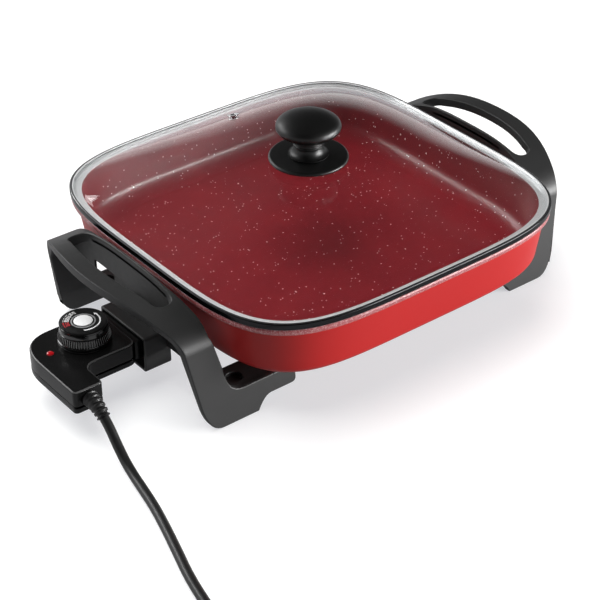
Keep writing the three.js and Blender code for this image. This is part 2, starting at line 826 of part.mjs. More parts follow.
// Tilts a body about the vent's centre to stand square to the glass.
function seatedAtVent(geometry) {
  return geometry.rotateX(-Math.atan(ventSlope)).translate(ventX, ventY, ventTop - glassThickness / 2);
}

piece('lid_glass', lidGlass(), clearGlass, lid);

const eyeletLow = -glassThickness / 2 - ventSeat - eyeletLip;
const eyeletHigh = glassThickness / 2 + ventSeat;
const eyelet = turned([
  [ventBore, eyeletLow], [eyeletFlange, eyeletLow], [eyeletFlange, eyeletLow + eyeletLip],
  [ventHole - seatGap, eyeletLow + eyeletLip], [ventHole - seatGap, eyeletHigh],
  [eyeletFlange, eyeletHigh], [eyeletFlange, eyeletHigh + eyeletLip], [ventBore, eyeletHigh + eyeletLip],
], 0, 0, pinSteps, true);
piece('vent_eyelet', seatedAtVent(eyelet), steel, lid);

const skirtFoot = glassCentreTop + seatGap;
const skirtTop = skirtFoot + skirtDiscHeight;
piece('knob_skirt', cut(
  solid(turned([
    [skirtDiscFootRadius, skirtFoot], [skirtDiscRadius, skirtTop - skirtDiscEdge],
    [skirtDiscTopRadius, skirtTop],
  ])),
  solid(turned([[knobBore, skirtFoot - cutOverrun], [knobBore, skirtTop + cutOverrun]], 0, 0, pinSteps)),
), glossBlack, lid);

const knobFoot = skirtTop + seatGap;
const headUnder = knobFoot + collarHeight + neckHeight;
piece('lid_knob', cut(
  solid(turned([
    [collarRadius, knobFoot], [collarRadius, knobFoot + collarRim], [neckRadius, knobFoot + collarHeight],
    [neckRadius, headUnder],
    ...headShares.map(([across, up]) => [headRadius * across, headUnder + headHeight * up]),
  ])),
  solid(turned([[knobBore, knobFoot - cutOverrun], [knobBore, knobFoot + knobBoreDepth]], 0, 0, pinSteps)),
), glossBlack, lid);

const glassUnder = glassCentreTop - glassThickness;
const washerTop = glassUnder - seatGap;
const washerFoot = washerTop - washerThickness;
piece('knob_washer', turned([
  [knobBore, washerFoot], [washerRadius, washerFoot], [washerRadius, washerTop], [knobBore, washerTop],
], 0, 0, roundSteps, true), cordRubber, lid);

const knobHeadTop = washerFoot - seatGap;
piece('knob_screw', turned([
  [knobScrewHead, knobHeadTop - knobScrewHeadHeight], [knobScrewHead, knobHeadTop],
  [knobScrewRadius, knobHeadTop], [knobScrewRadius, knobFoot + knobBoreDepth - seatGap],
], 0, 0, pinSteps), steel, lid);

// Control housing

function housingOutline() {
  const shape = new THREE.Shape();
  const corner = housingCorner;
  shape.moveTo(armInner + corner, -armHalf);
  shape.lineTo(controlReach - backCornerAlong, -armHalf);
  shape.quadraticCurveTo(controlReach, -armHalf, controlReach, backCornerAcross - armHalf);
  shape.lineTo(controlReach, bodyFront - corner / 2);
  shape.quadraticCurveTo(controlReach, bodyFront, controlReach - corner / 2, bodyFront);
  shape.lineTo(armBodyEdge + corner / 2, bodyFront);
  shape.quadraticCurveTo(armBodyEdge, bodyFront, armBodyEdge, bodyFront - corner / 2);
  shape.lineTo(armBodyEdge, armHalf + innerCorner);
  shape.quadraticCurveTo(armBodyEdge, armHalf, armBodyEdge - innerCorner, armHalf);
  shape.lineTo(armInner + corner, armHalf);
  shape.quadraticCurveTo(armInner, armHalf, armInner, armHalf - corner);
  shape.lineTo(armInner, -armHalf + corner);
  shape.quadraticCurveTo(armInner, -armHalf, armInner + corner, -armHalf);
  return shape.getPoints(housingSteps).slice(0, -1);
}

const housingPlan = housingOutline();
const screwPlaces = [
  [armInner + housingCorner + screwBossRadius, armHalf - housingCorner],
  [armInner + housingCorner + screwBossRadius, housingCorner - armHalf],
  [(armBodyEdge + controlReach) / 2, bodyFront - housingCorner * 2 - clampWidth],
];

function housingCuts() {
  const shaft = shaftRadius + shaftHoleClearance;
  const lens = lensRadius + seatGap;
  const roofIn = controlTop - controlWall - cutOverrun;
  const wallIn = armInner - cutOverrun;
  const wallOut = armInner + controlWall + cutOverrun;
  return [
    solid(turned([[shaft, roofIn], [shaft, controlTop + bossHeight + cutOverrun]], dialPlace)),
    solid(turned([[lens, roofIn], [lens, controlTop + cutOverrun]], lensPlace, 0, pinSteps)),
    solid(barAlongX(rodRadius + seatGap, wallIn, wallOut, 0, controlAxis)),
    solid(barAlongX(sleeveRadius + seatGap, wallIn, wallOut, elementSpread, controlAxis)),
    solid(barAlongX(sleeveRadius + seatGap, wallIn, wallOut, -elementSpread, controlAxis)),
    solid(barAlongY(reliefNeckRadius + seatGap, bodyFront - controlWall - cutOverrun,
      bodyFront + cutOverrun, reliefPlace, controlAxis)),
  ];
}

function housingCover() {
  const low = controlSplit + seatGap;
  const roof = controlTop - controlWall;
  const walls = solid(raised(new THREE.Shape(housingPlan), low, controlTop));
  const inside = new THREE.Shape(inset(housingPlan, controlWall));
  const hollow = solid(raised(inside, low - cutOverrun, roof));
  const dialBoss = solid(turned([[bossRadius, controlTop - controlWall / 2],
    [bossRadius, controlTop + bossHeight]], dialPlace, 0, roundSteps));
  let cover = join(cut(walls, hollow), dialBoss);
  for (const [x, y] of screwPlaces) {
    const boss = [[screwBossRadius, low], [screwBossRadius, roof + controlWall / 2]];
    const bore = [[housingScrewRadius + seatGap, low - cutOverrun], [housingScrewRadius + seatGap, roof]];
    cover = cut(join(cover, solid(turned(boss, x, y, pinSteps))), solid(turned(bore, x, y, pinSteps)));
  }
  return cut(cover, ...housingCuts());
}

function housingBase() {
  const floor = controlBottom + controlWall;
  const walls = solid(raised(new THREE.Shape(housingPlan), controlBottom, controlSplit));
  const inside = new THREE.Shape(inset(housingPlan, controlWall));
  const hollow = solid(raised(inside, floor, controlSplit + cutOverrun));
  let base = cut(walls, hollow);
  for (const [x, y] of screwPlaces) {
    const boss = [[screwBossRadius, floor - controlWall / 2], [screwBossRadius, controlSplit]];
    const bore = [[housingScrewRadius + seatGap, controlBottom - cutOverrun],
      [housingScrewRadius + seatGap, controlSplit + cutOverrun]];
    const recess = [[housingScrewHead + seatGap, controlBottom - cutOverrun],
      [housingScrewHead + seatGap, controlBottom + housingScrewRecess]];
    base = join(base, solid(turned(boss, x, y, pinSteps)));
    base = cut(base, solid(turned(bore, x, y, pinSteps)), solid(turned(recess, x, y, pinSteps)));
  }
  return base;
}

piece('control_cover', housingCover(), controlPlastic, control);
piece('control_base', housingBase(), controlPlastic, control);

screwPlaces.forEach(([x, y], index) => {
  const headTop = controlBottom + housingScrewRecess - seatGap;
  piece(`housing_screw_${index + 1}`, turned([
    [housingScrewHead, controlBottom], [housingScrewHead, headTop],
    [housingScrewRadius, headTop], [housingScrewRadius, controlBottom + housingScrewLength],
  ], x, y, pinSteps), steel, control);
});

// Dial with its plate, cap and shaft

const dialFoot = controlTop + bossHeight + seatGap;
const dialTop = dialFoot + dialHeight;
const dialHollowTop = dialTop - dialWall;
const dialRadii = [dialBaseRadius, dialBaseRadius, dialRadius + (dialBaseRadius - dialRadius) / 2,
  dialRadius + (dialBaseRadius - dialRadius) / 2, dialRadius, dialRadius];
const shaftTop = dialHollowTop - seatGap;
const hubBore = shaftRadius + shaftBoreClearance;

piece('dial_knob', cut(
  join(
    cut(
      solid(turned(dialSkirtShares.map((share, index) => [dialRadii[index], dialFoot + dialHeight * share]),
        dialPlace, 0, roundSteps * 2)),
      solid(turned([[dialRadius - dialWall, dialFoot - cutOverrun], [dialRadius - dialWall, dialHollowTop]],
        dialPlace, 0, roundSteps)),
    ),
    solid(turned([[shaftRadius + dialWall, dialFoot],
      [shaftRadius + dialWall, dialHollowTop + dialWall / 2]], dialPlace, 0, roundSteps)),
  ),
  solid(turned([[hubBore, dialFoot - cutOverrun], [hubBore, dialHollowTop]], dialPlace, 0, roundSteps)),
), glossBlack, control);

piece('dial_plate', turned([
  [capRadius + seatGap, dialTop + dialPlateSeat], [plateRadius, dialTop + dialPlateSeat],
  [plateRadius, dialTop + dialPlateThickness], [capRadius + seatGap, dialTop + dialPlateThickness],
], dialPlace, 0, roundSteps * 2, true), glossBlack, control);

piece('dial_cap', turned([
  [capRadius, dialTop + dialPlateSeat], [capRadius, dialTop + capHeight],
], dialPlace, 0, roundSteps), silverPaint, control);

const frameTop = controlAxis + rodRadius + seatGap + frameThickness;
piece('dial_shaft', turned([
  [shaftRadius, frameTop + seatGap], [shaftRadius, shaftTop],
], dialPlace, 0, roundSteps), steel, control);

// Thermostat and contacts

piece('contact_block', cut(
  solid(block(nosePlug, armInner - seatGap, -noseHalf, noseHalf, noseBottom, noseTop)),
  solid(barAlongX(rodRadius + seatGap, nosePlug - cutOverrun, armInner, 0, controlAxis)),
  solid(barAlongX(sleeveRadius + seatGap, nosePlug - cutOverrun, armInner, elementSpread, controlAxis)),
  solid(barAlongX(sleeveRadius + seatGap, nosePlug - cutOverrun, armInner, -elementSpread, controlAxis)),
), controlPlastic, control);

for (const [index, side] of [[1, 1], [2, -1]]) {
  const y = side * elementSpread;
  piece(`contact_sleeve_${index}`, cut(
    solid(barAlongX(sleeveRadius, sleeveStart, sleeveInnerEnd, y, controlAxis)),
    solid(barAlongX(pinRadius + seatGap, sleeveStart - cutOverrun, pinTip + seatGap, y, controlAxis)),
  ), brass, control);
}

piece('sensing_rod', barAlongX(rodRadius, rodTip, rodInnerEnd, 0, controlAxis, roundSteps), steel, control);

piece('thermostat_frame', block(rodInnerEnd - frameHalfLength, dialPlace + frameHalfLength, -frameHalfWidth,
  frameHalfWidth, frameTop - frameThickness, frameTop), steel, control);

const bladeStart = rodInnerEnd - frameHalfLength;
const bladeTop = controlAxis - rodRadius - seatGap;
piece('thermostat_blade', block(bladeStart, bladeStart + bladeLength, -bladeHalfWidth, bladeHalfWidth,
  bladeTop - bladeThickness, bladeTop), brass, control);

const lensFlange = controlTop - controlWall - seatGap;
piece('pilot_lens', turned([
  [lensRadius, lensFlange], [lensRadius, controlTop], [lensRadius * lensTopShare, controlTop + lensHeight],
], lensPlace, 0, pinSteps), redLens, control);
piece('pilot_lamp', turned([
  [lampRadius, lensFlange - seatGap - lampLength], [lampRadius, lensFlange - seatGap],
], lensPlace, 0, pinSteps), redLens, control);

// Strain relief, bent down towards the worktop

const reliefStart = new THREE.Vector3(reliefPlace, bodyFront + seatGap, controlAxis);
const reliefCurve = new THREE.QuadraticBezierCurve3(
  reliefStart, new THREE.Vector3(reliefPlace, bodyFront + reliefForward / 2, controlAxis),
  new THREE.Vector3(reliefPlace, bodyFront + reliefForward, controlAxis - reliefDrop));

function reliefRadius(share) {
  const taper = reliefRootRadius + (reliefTipRadius - reliefRootRadius) * share;
  const stepsPerRib = reliefSteps / reliefRibs;
  const groove = Math.round(share * reliefSteps) % stepsPerRib >= stepsPerRib / 2;
  return groove ? taper - reliefRibDepth : taper;
}

const reliefInner = bodyFront - controlWall - reliefNeckLength;
piece('strain_relief', join(
  solid(tube(reliefCurve.getPoints(reliefSteps), reliefRadius, pinSteps)),
  solid(barAlongY(reliefNeckRadius, reliefInner, bodyFront + seatGap + reliefForward / reliefRibs / 2,
    reliefPlace, controlAxis)),
), cordRubber, control);

piece('cord_clamp', block(reliefPlace - clampHalfLength, reliefPlace + clampHalfLength,
  reliefInner - seatGap - clampWidth, reliefInner - seatGap, controlBottom + controlWall + seatGap,
  controlBottom + controlWall + seatGap + clampThickness), blackPlastic, control);

// Cord: its free stretch, then the rest in a coil on the worktop, then the plug

const reliefEnd = new THREE.Vector3(
  applianceShift - reliefPlace, -bodyFront - reliefForward, controlAxis - reliefDrop);
const reliefAhead = new THREE.Vector3(0, -reliefForward / 2, -reliefDrop).normalize();
const cordStart = reliefEnd.clone().addScaledVector(reliefAhead, seatGap);
const coilEntry = new THREE.Vector3(coilX + coilRadius, coilY + cordRadius * 2, coilHeight);
const cordRoute = [
  cordStart,
  cordStart.clone().addScaledVector(reliefAhead, cordRadius * 2),
  new THREE.Vector3(-207.6, -83, 13.5),
  new THREE.Vector3(-208.8, -94, 7),
  new THREE.Vector3(-210.6, -106, 4.2),
  new THREE.Vector3(-213.2, -120, 3.6),
  new THREE.Vector3(-217.5, -140, 3.6),
  new THREE.Vector3(-223.5, -162, 3.6),
  new THREE.Vector3(-230.5, -185, 3.6),
  new THREE.Vector3(-237.5, -208, 3.6),
  new THREE.Vector3(-243, -232, 3.6),
  new THREE.Vector3(-246.6, -252, 3.6),
  coilEntry.clone().add(new THREE.Vector3(0, cordRadius * 2 + seatGap, 0)),
  coilEntry.clone().add(new THREE.Vector3(0, seatGap, 0)),
];
const cordCurve = new THREE.CatmullRomCurve3(cordRoute);

piece('power_cord', new THREE.ExtrudeGeometry(ringShape(cordRadius, cordSides), {
  steps: cordSteps, bevelEnabled: false, extrudePath: cordCurve,
}), cordRubber, pan);

const smooth = (share) => share * share * (3 - 2 * share);
const clampShare = (value) => Math.min(Math.max(value, 0), 1);

// A point of the coil after so many turns: two layers, in and out again, with a hump over the tie.
function coilPoint(turns) {
  const angle = -turns * Math.PI * 2;
  const radius = coilRadius - coilPitch * Math.min(turns, coilTurns - turns);
  const climb = smooth(clampShare((turns - coilTurns / 2) * 2 + 1 / 2));
  const offTie = ((turns % 1) - tieTurn) / tieHumpTurns;
  const hump = (tieThickness + seatGap) * Math.exp(-(offTie ** 2));
  return new THREE.Vector3(coilX + radius * Math.cos(angle), coilY + radius * Math.sin(angle),
    coilHeight + layerRise * climb + hump);
}

function coilPoints() {
  const steps = coilTurns * coilStepsPerTurn;
  const wound = Array.from({ length: steps + 1 }, (_, step) => coilPoint(step / coilStepsPerTurn));
  const last = wound[wound.length - 1];
  const plugHeight = plugHalfHeight + clearAbove;
  const drop = last.z - plugHeight;
  const tail = [
    new THREE.Vector3(last.x, last.y + coilTail / 3, last.z - drop / 3),
    new THREE.Vector3(last.x, last.y + (coilTail * 2) / 3, plugHeight),
    new THREE.Vector3(last.x, last.y + coilTail, plugHeight),
  ];
  return [coilEntry, ...wound, ...tail];
}

const coil = coilPoints();
piece('cord_coil', tube(coil, () => cordRadius, coilSides), cordRubber, pan);

// Least gap between turns, on the points of the winding.
let leastGap = Infinity;
for (let first = 0; first < coil.length; first += 1) {
  for (let second = first + coilStepsPerTurn / 2; second < coil.length; second += 1) {
    leastGap = Math.min(leastGap, coil[first].distanceTo(coil[second]) - cordRadius * 2);
  }
}
const coilLength = coil.slice(1).reduce((sum, point, index) => sum + point.distanceTo(coil[index]), 0);
console.log(`cord: free ${cordCurve.getLength().toFixed(0)} mm, coil ${coilLength.toFixed(0)} mm, `
  + `least gap in the coil ${leastGap.toFixed(2)} mm`);

// Tie round the four strands of the coil
const tieAngle = -tieTurn * Math.PI * 2;
const strandInner = coilRadius - coilPitch * (1 + tieTurn);
const strandOuter = coilRadius - coilPitch * tieTurn;
const tieLowRadius = strandInner - cordRadius - seatGap;
const tieHighRadius = strandOuter + cordRadius + seatGap;
const tieFoot = clearAbove;
const tieLowest = tieFoot + tieThickness;
const tieHighest = coilHeight + tieThickness + seatGap + layerRise + cordRadius + seatGap;
const tie = cut(
  solid(block(tieLowRadius - tieThickness, tieHighRadius + tieThickness, -tieWidth / 2, tieWidth / 2,
    tieFoot, tieHighest + tieThickness)),
  solid(block(tieLowRadius, tieHighRadius, -tieWidth, tieWidth, tieLowest, tieHighest)),
);
piece('cord_tie', geometryOf(tie).rotateZ(tieAngle).translate(coilX, coilY, 0), blackPlastic, pan);

// Plug, lying beside the coil with its pins away from the cord
const coilEnd = coil[coil.length - 1];
const plugStart = coilEnd.y + seatGap;
const plugEnd = plugStart + plugLength;
const plugNeck = plugStart + plugLength * plugNeckShare;
const plugOutline = shapeOf([
  [coilEnd.x - plugNeckHalf, plugStart], [coilEnd.x + plugNeckHalf, plugStart],
  [coilEnd.x + plugHalfWidth, plugNeck], [coilEnd.x + plugHalfWidth, plugEnd],
  [coilEnd.x - plugHalfWidth, plugEnd], [coilEnd.x - plugHalfWidth, plugNeck],
]);
piece('plug_body', raised(plugOutline, clearAbove, clearAbove + plugHalfHeight * 2), cordRubber, pan);

[-1, 0, 1].forEach((place, index) => {
  const height = coilEnd.z + (place === 0 ? plugEarthShift : 0);
  piece(`plug_pin_${index + 1}`, barAlongY(plugPinRadius, plugEnd + seatGap, plugEnd + plugPinLength,
    coilEnd.x + place * plugPinSpacing, height), brass, pan);
});

export default pan;
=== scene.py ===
import json
import math

import bmesh
import bpy
from mathutils import Matrix, Vector


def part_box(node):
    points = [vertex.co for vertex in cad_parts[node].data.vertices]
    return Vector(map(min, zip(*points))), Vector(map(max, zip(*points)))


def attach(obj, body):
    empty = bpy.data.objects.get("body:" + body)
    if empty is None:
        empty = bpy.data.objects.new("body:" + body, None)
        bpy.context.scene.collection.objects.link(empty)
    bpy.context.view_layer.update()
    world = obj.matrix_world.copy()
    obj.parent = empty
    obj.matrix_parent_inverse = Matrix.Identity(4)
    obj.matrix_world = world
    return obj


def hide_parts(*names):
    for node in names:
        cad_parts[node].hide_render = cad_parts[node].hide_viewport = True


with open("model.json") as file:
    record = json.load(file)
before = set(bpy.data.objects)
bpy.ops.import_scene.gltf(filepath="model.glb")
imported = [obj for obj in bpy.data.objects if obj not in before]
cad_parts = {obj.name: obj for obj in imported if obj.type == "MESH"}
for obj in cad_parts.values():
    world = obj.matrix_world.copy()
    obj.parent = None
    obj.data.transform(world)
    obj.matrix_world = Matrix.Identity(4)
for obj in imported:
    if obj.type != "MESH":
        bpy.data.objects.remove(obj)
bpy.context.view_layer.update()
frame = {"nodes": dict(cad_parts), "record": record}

# Electric pan with a glass lid, in metres. The pan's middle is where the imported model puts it.
panLow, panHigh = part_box("pan_shell")
centreX = (panLow.x + panHigh.x) / 2
print("frame loaded,", len(frame["nodes"]), "nodes")


# Camera

camera = {"place": (-0.67925, -0.8908, 0.7485), "azimuth": -38.73, "elevation": 33.04, "focalPixels": 1756.62,
          "axisPixel": (323.25, 279.42), "imagePixels": 600, "sensor": 36.0}


def makeCamera():
    lens = bpy.data.cameras.new("viewCamera")
    half = camera["imagePixels"] / 2
    lens.sensor_width = camera["sensor"]
    lens.lens = camera["sensor"] * camera["focalPixels"] / camera["imagePixels"]
    lens.shift_x = (half - camera["axisPixel"][0]) / camera["imagePixels"]
    lens.shift_y = (camera["axisPixel"][1] - half) / camera["imagePixels"]
    holder = bpy.data.objects.new("viewCamera", lens)
    bpy.context.scene.collection.objects.link(holder)
    holder.location = camera["place"]
    holder.rotation_euler = (math.radians(90 - camera["elevation"]), 0, math.radians(camera["azimuth"]))
    bpy.context.scene.camera = holder


makeCamera()


# Finishes: a class for sockets, one for node trees and one for materials


class Wire:
    def __init__(self, finish, socket):
        self.finish = finish
        self.socket = socket

    def maths(self, operation, first, second):
        return self.finish.add("ShaderNodeMath", {"operation": operation}, {0: first, 1: second})

    def __mul__(self, other):
        return self.maths("MULTIPLY", self, other)

    def __rmul__(self, other):
        return self.maths("MULTIPLY", other, self)

    def __lt__(self, other):
        return self.maths("LESS_THAN", self, other)

    def __gt__(self, other):
        return self.maths("GREATER_THAN", self, other)


class Nodes:
    def __init__(self, owner, outputKind):
        owner.use_nodes = True
        self.tree = owner.node_tree
        self.tree.nodes.clear()
        self.surface = self.tree.nodes.new(outputKind).inputs["Surface"]

    def plug(self, socket, value):
        if isinstance(value, Wire):
            self.tree.links.new(value.socket, socket)
        else:
            socket.default_value = value

    def add(self, kind, settings, sockets, out=0):
        node = self.tree.nodes.new(kind)
        for name, value in settings.items():
            if name == "stops":
                elements = node.color_ramp.elements
                while len(elements) < len(value):
                    elements.new(1)
                for element, (spot, colour) in zip(elements, value):
                    element.position = spot
                    element.color = colour
            else:
                setattr(node, name, value)
        for name, value in sockets.items():
            self.plug(node.inputs[name], value)
        return Wire(self, node.outputs[out])

    def ray(self, kind):
        return self.add("ShaderNodeLightPath", {}, {}, "Is " + kind + " Ray")

    def most(self, first, second):
        return self.add("ShaderNodeMath", {"operation": "MAXIMUM"}, {0: first, 1: second})

    def range(self, wire, low, high, newLow, newHigh):
        return self.add("ShaderNodeMapRange", {}, {
            "Value": wire, "From Min": low, "From Max": high, "To Min": newLow, "To Max": newHigh})

    def mixed(self, mask, first, second):
        return self.add("ShaderNodeMix", {"data_type": "RGBA"}, {0: mask, 6: first, 7: second}, 2)

    def eitherShader(self, mask, first, second):
        return self.add("ShaderNodeMixShader", {}, {0: mask, 1: first, 2: second})


class Finish(Nodes):
    def __init__(self, name, shine):
        self.material = bpy.data.materials.new(name)
        super().__init__(self.material, "ShaderNodeOutputMaterial")
        self.shader = self.tree.nodes.new("ShaderNodeBsdfPrincipled")
        self.body = Wire(self, self.shader.outputs["BSDF"])
        self.plug(self.surface, self.body)
        self.place = self.add("ShaderNodeTexCoord", {}, {}, "Object")
        for socket, value in shine.items():
            self.set(socket, value)

    def set(self, name, value):
        self.plug(self.shader.inputs[name], value)

    def noise(self, scale, detail=2.0, roughness=0.5, where=None):
        return self.add("ShaderNodeTexNoise", {}, {
            "Vector": where or self.place, "Scale": scale, "Detail": detail, "Roughness": roughness})

    def cells(self, scale, out="Distance"):
        return self.add("ShaderNodeTexVoronoi", {}, {"Vector": self.place, "Scale": scale}, out)

    def tint(self, mask, first, second):
        self.set("Base Color", self.mixed(mask, first, second))

    def dull(self, mask, low, high):
        self.set("Roughness", self.range(mask, 0, 1, low, high))

    def relief(self, height, depth, strength):
        self.set("Normal", self.add("ShaderNodeBump", {}, {
            "Height": height, "Distance": depth, "Strength": strength}))

    def peel(self, look):
        self.dull(self.noise(look["dullScale"]), *look["dull"])
        self.relief(self.noise(look["peelScale"]), look["peelDepth"], look["peelStrength"])


def grey(level):
    return (level, level, level, 1)


def dimmed(colour, share):
    return tuple(share * part for part in colour[:3]) + (1,)


enamel = {"red": (0.44, 0.015, 0.014, 1), "deepRed": (0.38, 0.012, 0.012, 1), "cloudScale": 9.0,
          "dullScale": 60.0, "dull": (0.38, 0.46), "peelScale": 420.0, "peelDepth": 0.00004, "peelStrength": 0.4}


def makeEnamel():
    finish = Finish("redEnamel", {"Specular IOR Level": 0.25, "Coat Weight": 0.05, "Coat Roughness": 0.2})
    finish.tint(finish.noise(enamel["cloudScale"], 3), enamel["red"], enamel["deepRed"])
    finish.peel(enamel)
    return finish.material


panCoating = {"dark": (0.11, 0.006, 0.010, 1), "wine": (0.18, 0.011, 0.015, 1), "fleck": (0.85, 0.70, 0.68, 1),
              "flecks": ((400.0, 0.18, 0.83), (130.0, 0.09, 0.87))}
# The lip's coating has finer flecks, and its lighter ground is painted light.
paintedLitLipCoating = {"dark": (0.26, 0.045, 0.050, 1), "wine": (0.36, 0.085, 0.090, 1), "fleck": (0.60, 0.36, 0.37, 1),
              "flecks": ((1700.0, 0.40, 0.45), (900.0, 0.28, 0.70))}
coatingGrain = {"cloudScale": 30, "dullScale": 220, "dull": (0.28, 0.42), "peelScale": 500, "peelDepth": 0.00004,
                "peelStrength": 0.5}


# Dark red non-stick coat with pale flecks of two sizes.
def makeCoating(name, coating):
    finish = Finish(name, {"Coat Weight": 0.5, "Coat Roughness": 0.16})
    spots = []
    for scale, size, share in coating["flecks"]:
        lot = finish.add("ShaderNodeSeparateColor", {}, {"Color": finish.cells(scale, "Color")})
        spots.append((finish.cells(scale) < size) * (lot > share))
    ground = finish.mixed(finish.noise(coatingGrain["cloudScale"], 4, 0.6), coating["dark"], coating["wine"])
    finish.tint(finish.most(*spots), ground, coating["fleck"])
    finish.peel(coatingGrain)
    return finish.material


mouldingGrain = {"cloudScale": 14, "dullSpread": 0.05, "strength": 0.6, "coatRoughness": 0.08}


def makeMoulding(name, dark, light, roughness, grain, depth, coat=0.0, gloss=0.5):
    finish = Finish(name, {
        "Coat Weight": coat, "Coat Roughness": mouldingGrain["coatRoughness"], "Specular IOR Level": gloss})
    spread = mouldingGrain["dullSpread"]
    finish.tint(finish.noise(mouldingGrain["cloudScale"], 3), grey(dark), grey(light))
    finish.dull(finish.noise(grain / 4), roughness - spread, roughness + spread)
    finish.relief(finish.noise(grain, 3), depth, mouldingGrain["strength"])
    return finish.material


metalGrain = {"dimming": 0.82, "dull": (0.7, 1.4), "depth": 0.00002, "strength": 0.3}
even = (1, 1, 1)
rolled = (1, 1, 30)


def makeMetal(name, colour, roughness, stretch, scratchScale, metallic=1.0):
    finish = Finish(name, {"Metallic": metallic})
    where = finish.add("ShaderNodeMapping", {}, {"Vector": finish.place, "Scale": stretch})
    scratches = finish.noise(scratchScale, 4, 0.6, where)
    finish.tint(scratches, dimmed(colour, metalGrain["dimming"]), colour)
    finish.dull(scratches, *(roughness * share for share in metalGrain["dull"]))
    finish.relief(scratches, metalGrain["depth"], metalGrain["strength"])
    return finish.material


lidGlassLook = {"tint": (0.97, 0.985, 0.98, 1), "index": 1.45, "gloss": 0.25, "dullScale": 25, "dull": (0.0, 0.02)}


# Clear glass that lets the lamps through to what is behind it.
def makeGlass():
    finish = Finish("clearGlass", {
        "Base Color": lidGlassLook["tint"], "Transmission Weight": 1.0, "IOR": lidGlassLook["index"],
        "Specular IOR Level": lidGlassLook["gloss"]})
    finish.dull(finish.noise(lidGlassLook["dullScale"]), *lidGlassLook["dull"])
    clear = finish.add("ShaderNodeBsdfTransparent", {}, {})
    finish.plug(finish.surface, finish.eitherShader(finish.ray("Shadow"), finish.body, clear))
    return finish.material


lensLook = {"grain": 700, "dimming": 0.6, "roughness": 0.12}
printLook = {"grain": 900, "dimming": 0.85, "roughness": 0.5}


def makeLens(name, colour, glow):
    finish = Finish(name, {"Roughness": lensLook["roughness"], "Coat Weight": 1.0, "Emission Strength": glow})
    tone = finish.mixed(finish.noise(lensLook["grain"]), colour, dimmed(colour, lensLook["dimming"]))
    finish.set("Base Color", tone)
    finish.set("Emission Color", tone)
    return finish.material


def makePrint(name, colour):
    finish = Finish(name, {"Roughness": printLook["roughness"]})
    finish.tint(finish.noise(printLook["grain"]), colour, dimmed(colour, printLook["dimming"]))
    return finish.material


looks = {
    "pan_enamel": makeEnamel(),
    "handle_phenolic": makeMoulding("handleMoulding", 0.013, 0.019, 0.46, 900, 0.00003),
    "knob_phenolic": makeMoulding("knobMoulding", 0.002, 0.003, 0.4, 300, 0.000005),
    "control_plastic": makeMoulding("controlMoulding", 0.003, 0.0045, 0.24, 400, 0.000003, gloss=0.3),
    "dial_plastic": makeMoulding("dialMoulding", 0.005, 0.007, 0.18, 500, 0.00001, 0.8),
    "lid_glass": makeGlass(),
    "stainless": makeMetal("rolledSteel", (0.80, 0.80, 0.81, 1), 0.10, rolled, 40),
    "plated_steel": makeMetal("platedSteel", (0.66, 0.66, 0.67, 1), 0.30, even, 600),
    "element_sheath": makeMetal("elementSheath", (0.30, 0.27, 0.25, 1), 0.42, even, 120),
    "brass": makeMetal("drawnBrass", (0.70, 0.50, 0.22, 1), 0.28, even, 500),
    "cast_aluminium": makeMetal("castAluminium", (0.56, 0.57, 0.58, 1), 0.5, even, 260),
    "ceramic": makeMoulding("steatite", 0.62, 0.72, 0.7, 700, 0.00004),
    "red_lens": makeLens("redLens", (0.42, 0.006, 0.010, 1), 0.03),
    "lamp_glass": makeLens("lampGlass", (0.9, 0.35, 0.2, 1), 0.2),
    "dial_print": makeMoulding("dialPlate", 0.006, 0.009, 0.3, 800, 0.00001, 0.3),
    "cap_silver": makeMetal("silverCap", grey(0.90), 0.34, even, 700, 0.0),
    "cord_rubber": makeMoulding("cordRubber", 0.006, 0.010, 0.42, 1100, 0.00003, 0.15),
    "tie_plastic": makeMoulding("tiePlastic", 0.012, 0.018, 0.5, 800, 0.00003),
}
coatingLook = makeCoating("fleckedCoating", panCoating)
# The lip's coating, painted lighter as if lit.
paintedLitLipLook = makeCoating("paintedLitLipCoating", paintedLitLipCoating)
whitePrint = makePrint("whitePrint", grey(0.92))
redPrint = makePrint("redPrint", (0.62, 0.03, 0.04, 1))
# Pale band steel: the lit copy among the band's painted reflections.
paintedLitBandSteel = makeMetal("paintedLitBandSteel", (0.92, 0.92, 0.93, 1), 0.16, rolled, 40, 0.55)
# A lighter moulding for the control cover's rounded edges: a painted highlight.
paintedEdgeHighlightLook = makeMoulding("paintedEdgeHighlightMoulding", 0.05, 0.07, 0.2, 400, 0.000003)
# A lighter grey for the crests of the dial's ribs: a painted highlight.
paintedRibHighlightLook = makePrint("paintedRibCrestHighlight", grey(0.16))
# Grey and dark copies of the band steel: painted reflections for the shoulder and the outer face.
paintedGreyReflectionSteel = makeMetal("paintedGreyReflectionSteel", (0.52, 0.52, 0.53, 1), 0.11, rolled, 40, 0.95)
paintedDarkReflectionSteel = makeMetal("paintedDarkReflectionSteel", (0.035, 0.035, 0.037, 1), 0.2, rolled, 40)
silverPrint = makeMetal("silverPrint", (0.74, 0.74, 0.75, 1), 0.3, even, 600, 0.7)
print("finishes made")


# Modelling helpers

angles = {"sharp": 35, "soft": 60, "glass": 50, "ribs": 30}
weldGap = 1e-7
cornerShare = 0.49  # the most of a side that one rounded corner takes


def pick(shape, *names):
    return [shape[name] for name in names]


def deselectAll():
    bpy.ops.object.select_all(action="DESELECT")


def activate(*pieces):
    deselectAll()
    for piece in pieces:
        piece.select_set(True)
    bpy.context.view_layer.objects.active = pieces[0]


# A ring of points as a new mesh, open for editing.
def startRing(ring, fill="NOTHING"):
    deselectAll()
    bpy.ops.mesh.primitive_circle_add(vertices=len(ring), radius=1, fill_type=fill)
    piece = bpy.context.object
    for vertex, spot in zip(piece.data.vertices, ring):
        vertex.co = spot
    bpy.ops.object.mode_set(mode="EDIT")
    bpy.ops.mesh.select_all(action="SELECT")
    return piece


def openCage(piece):
    cage = bmesh.from_edit_mesh(piece.data)
    cage.verts.ensure_lookup_table()
    return cage


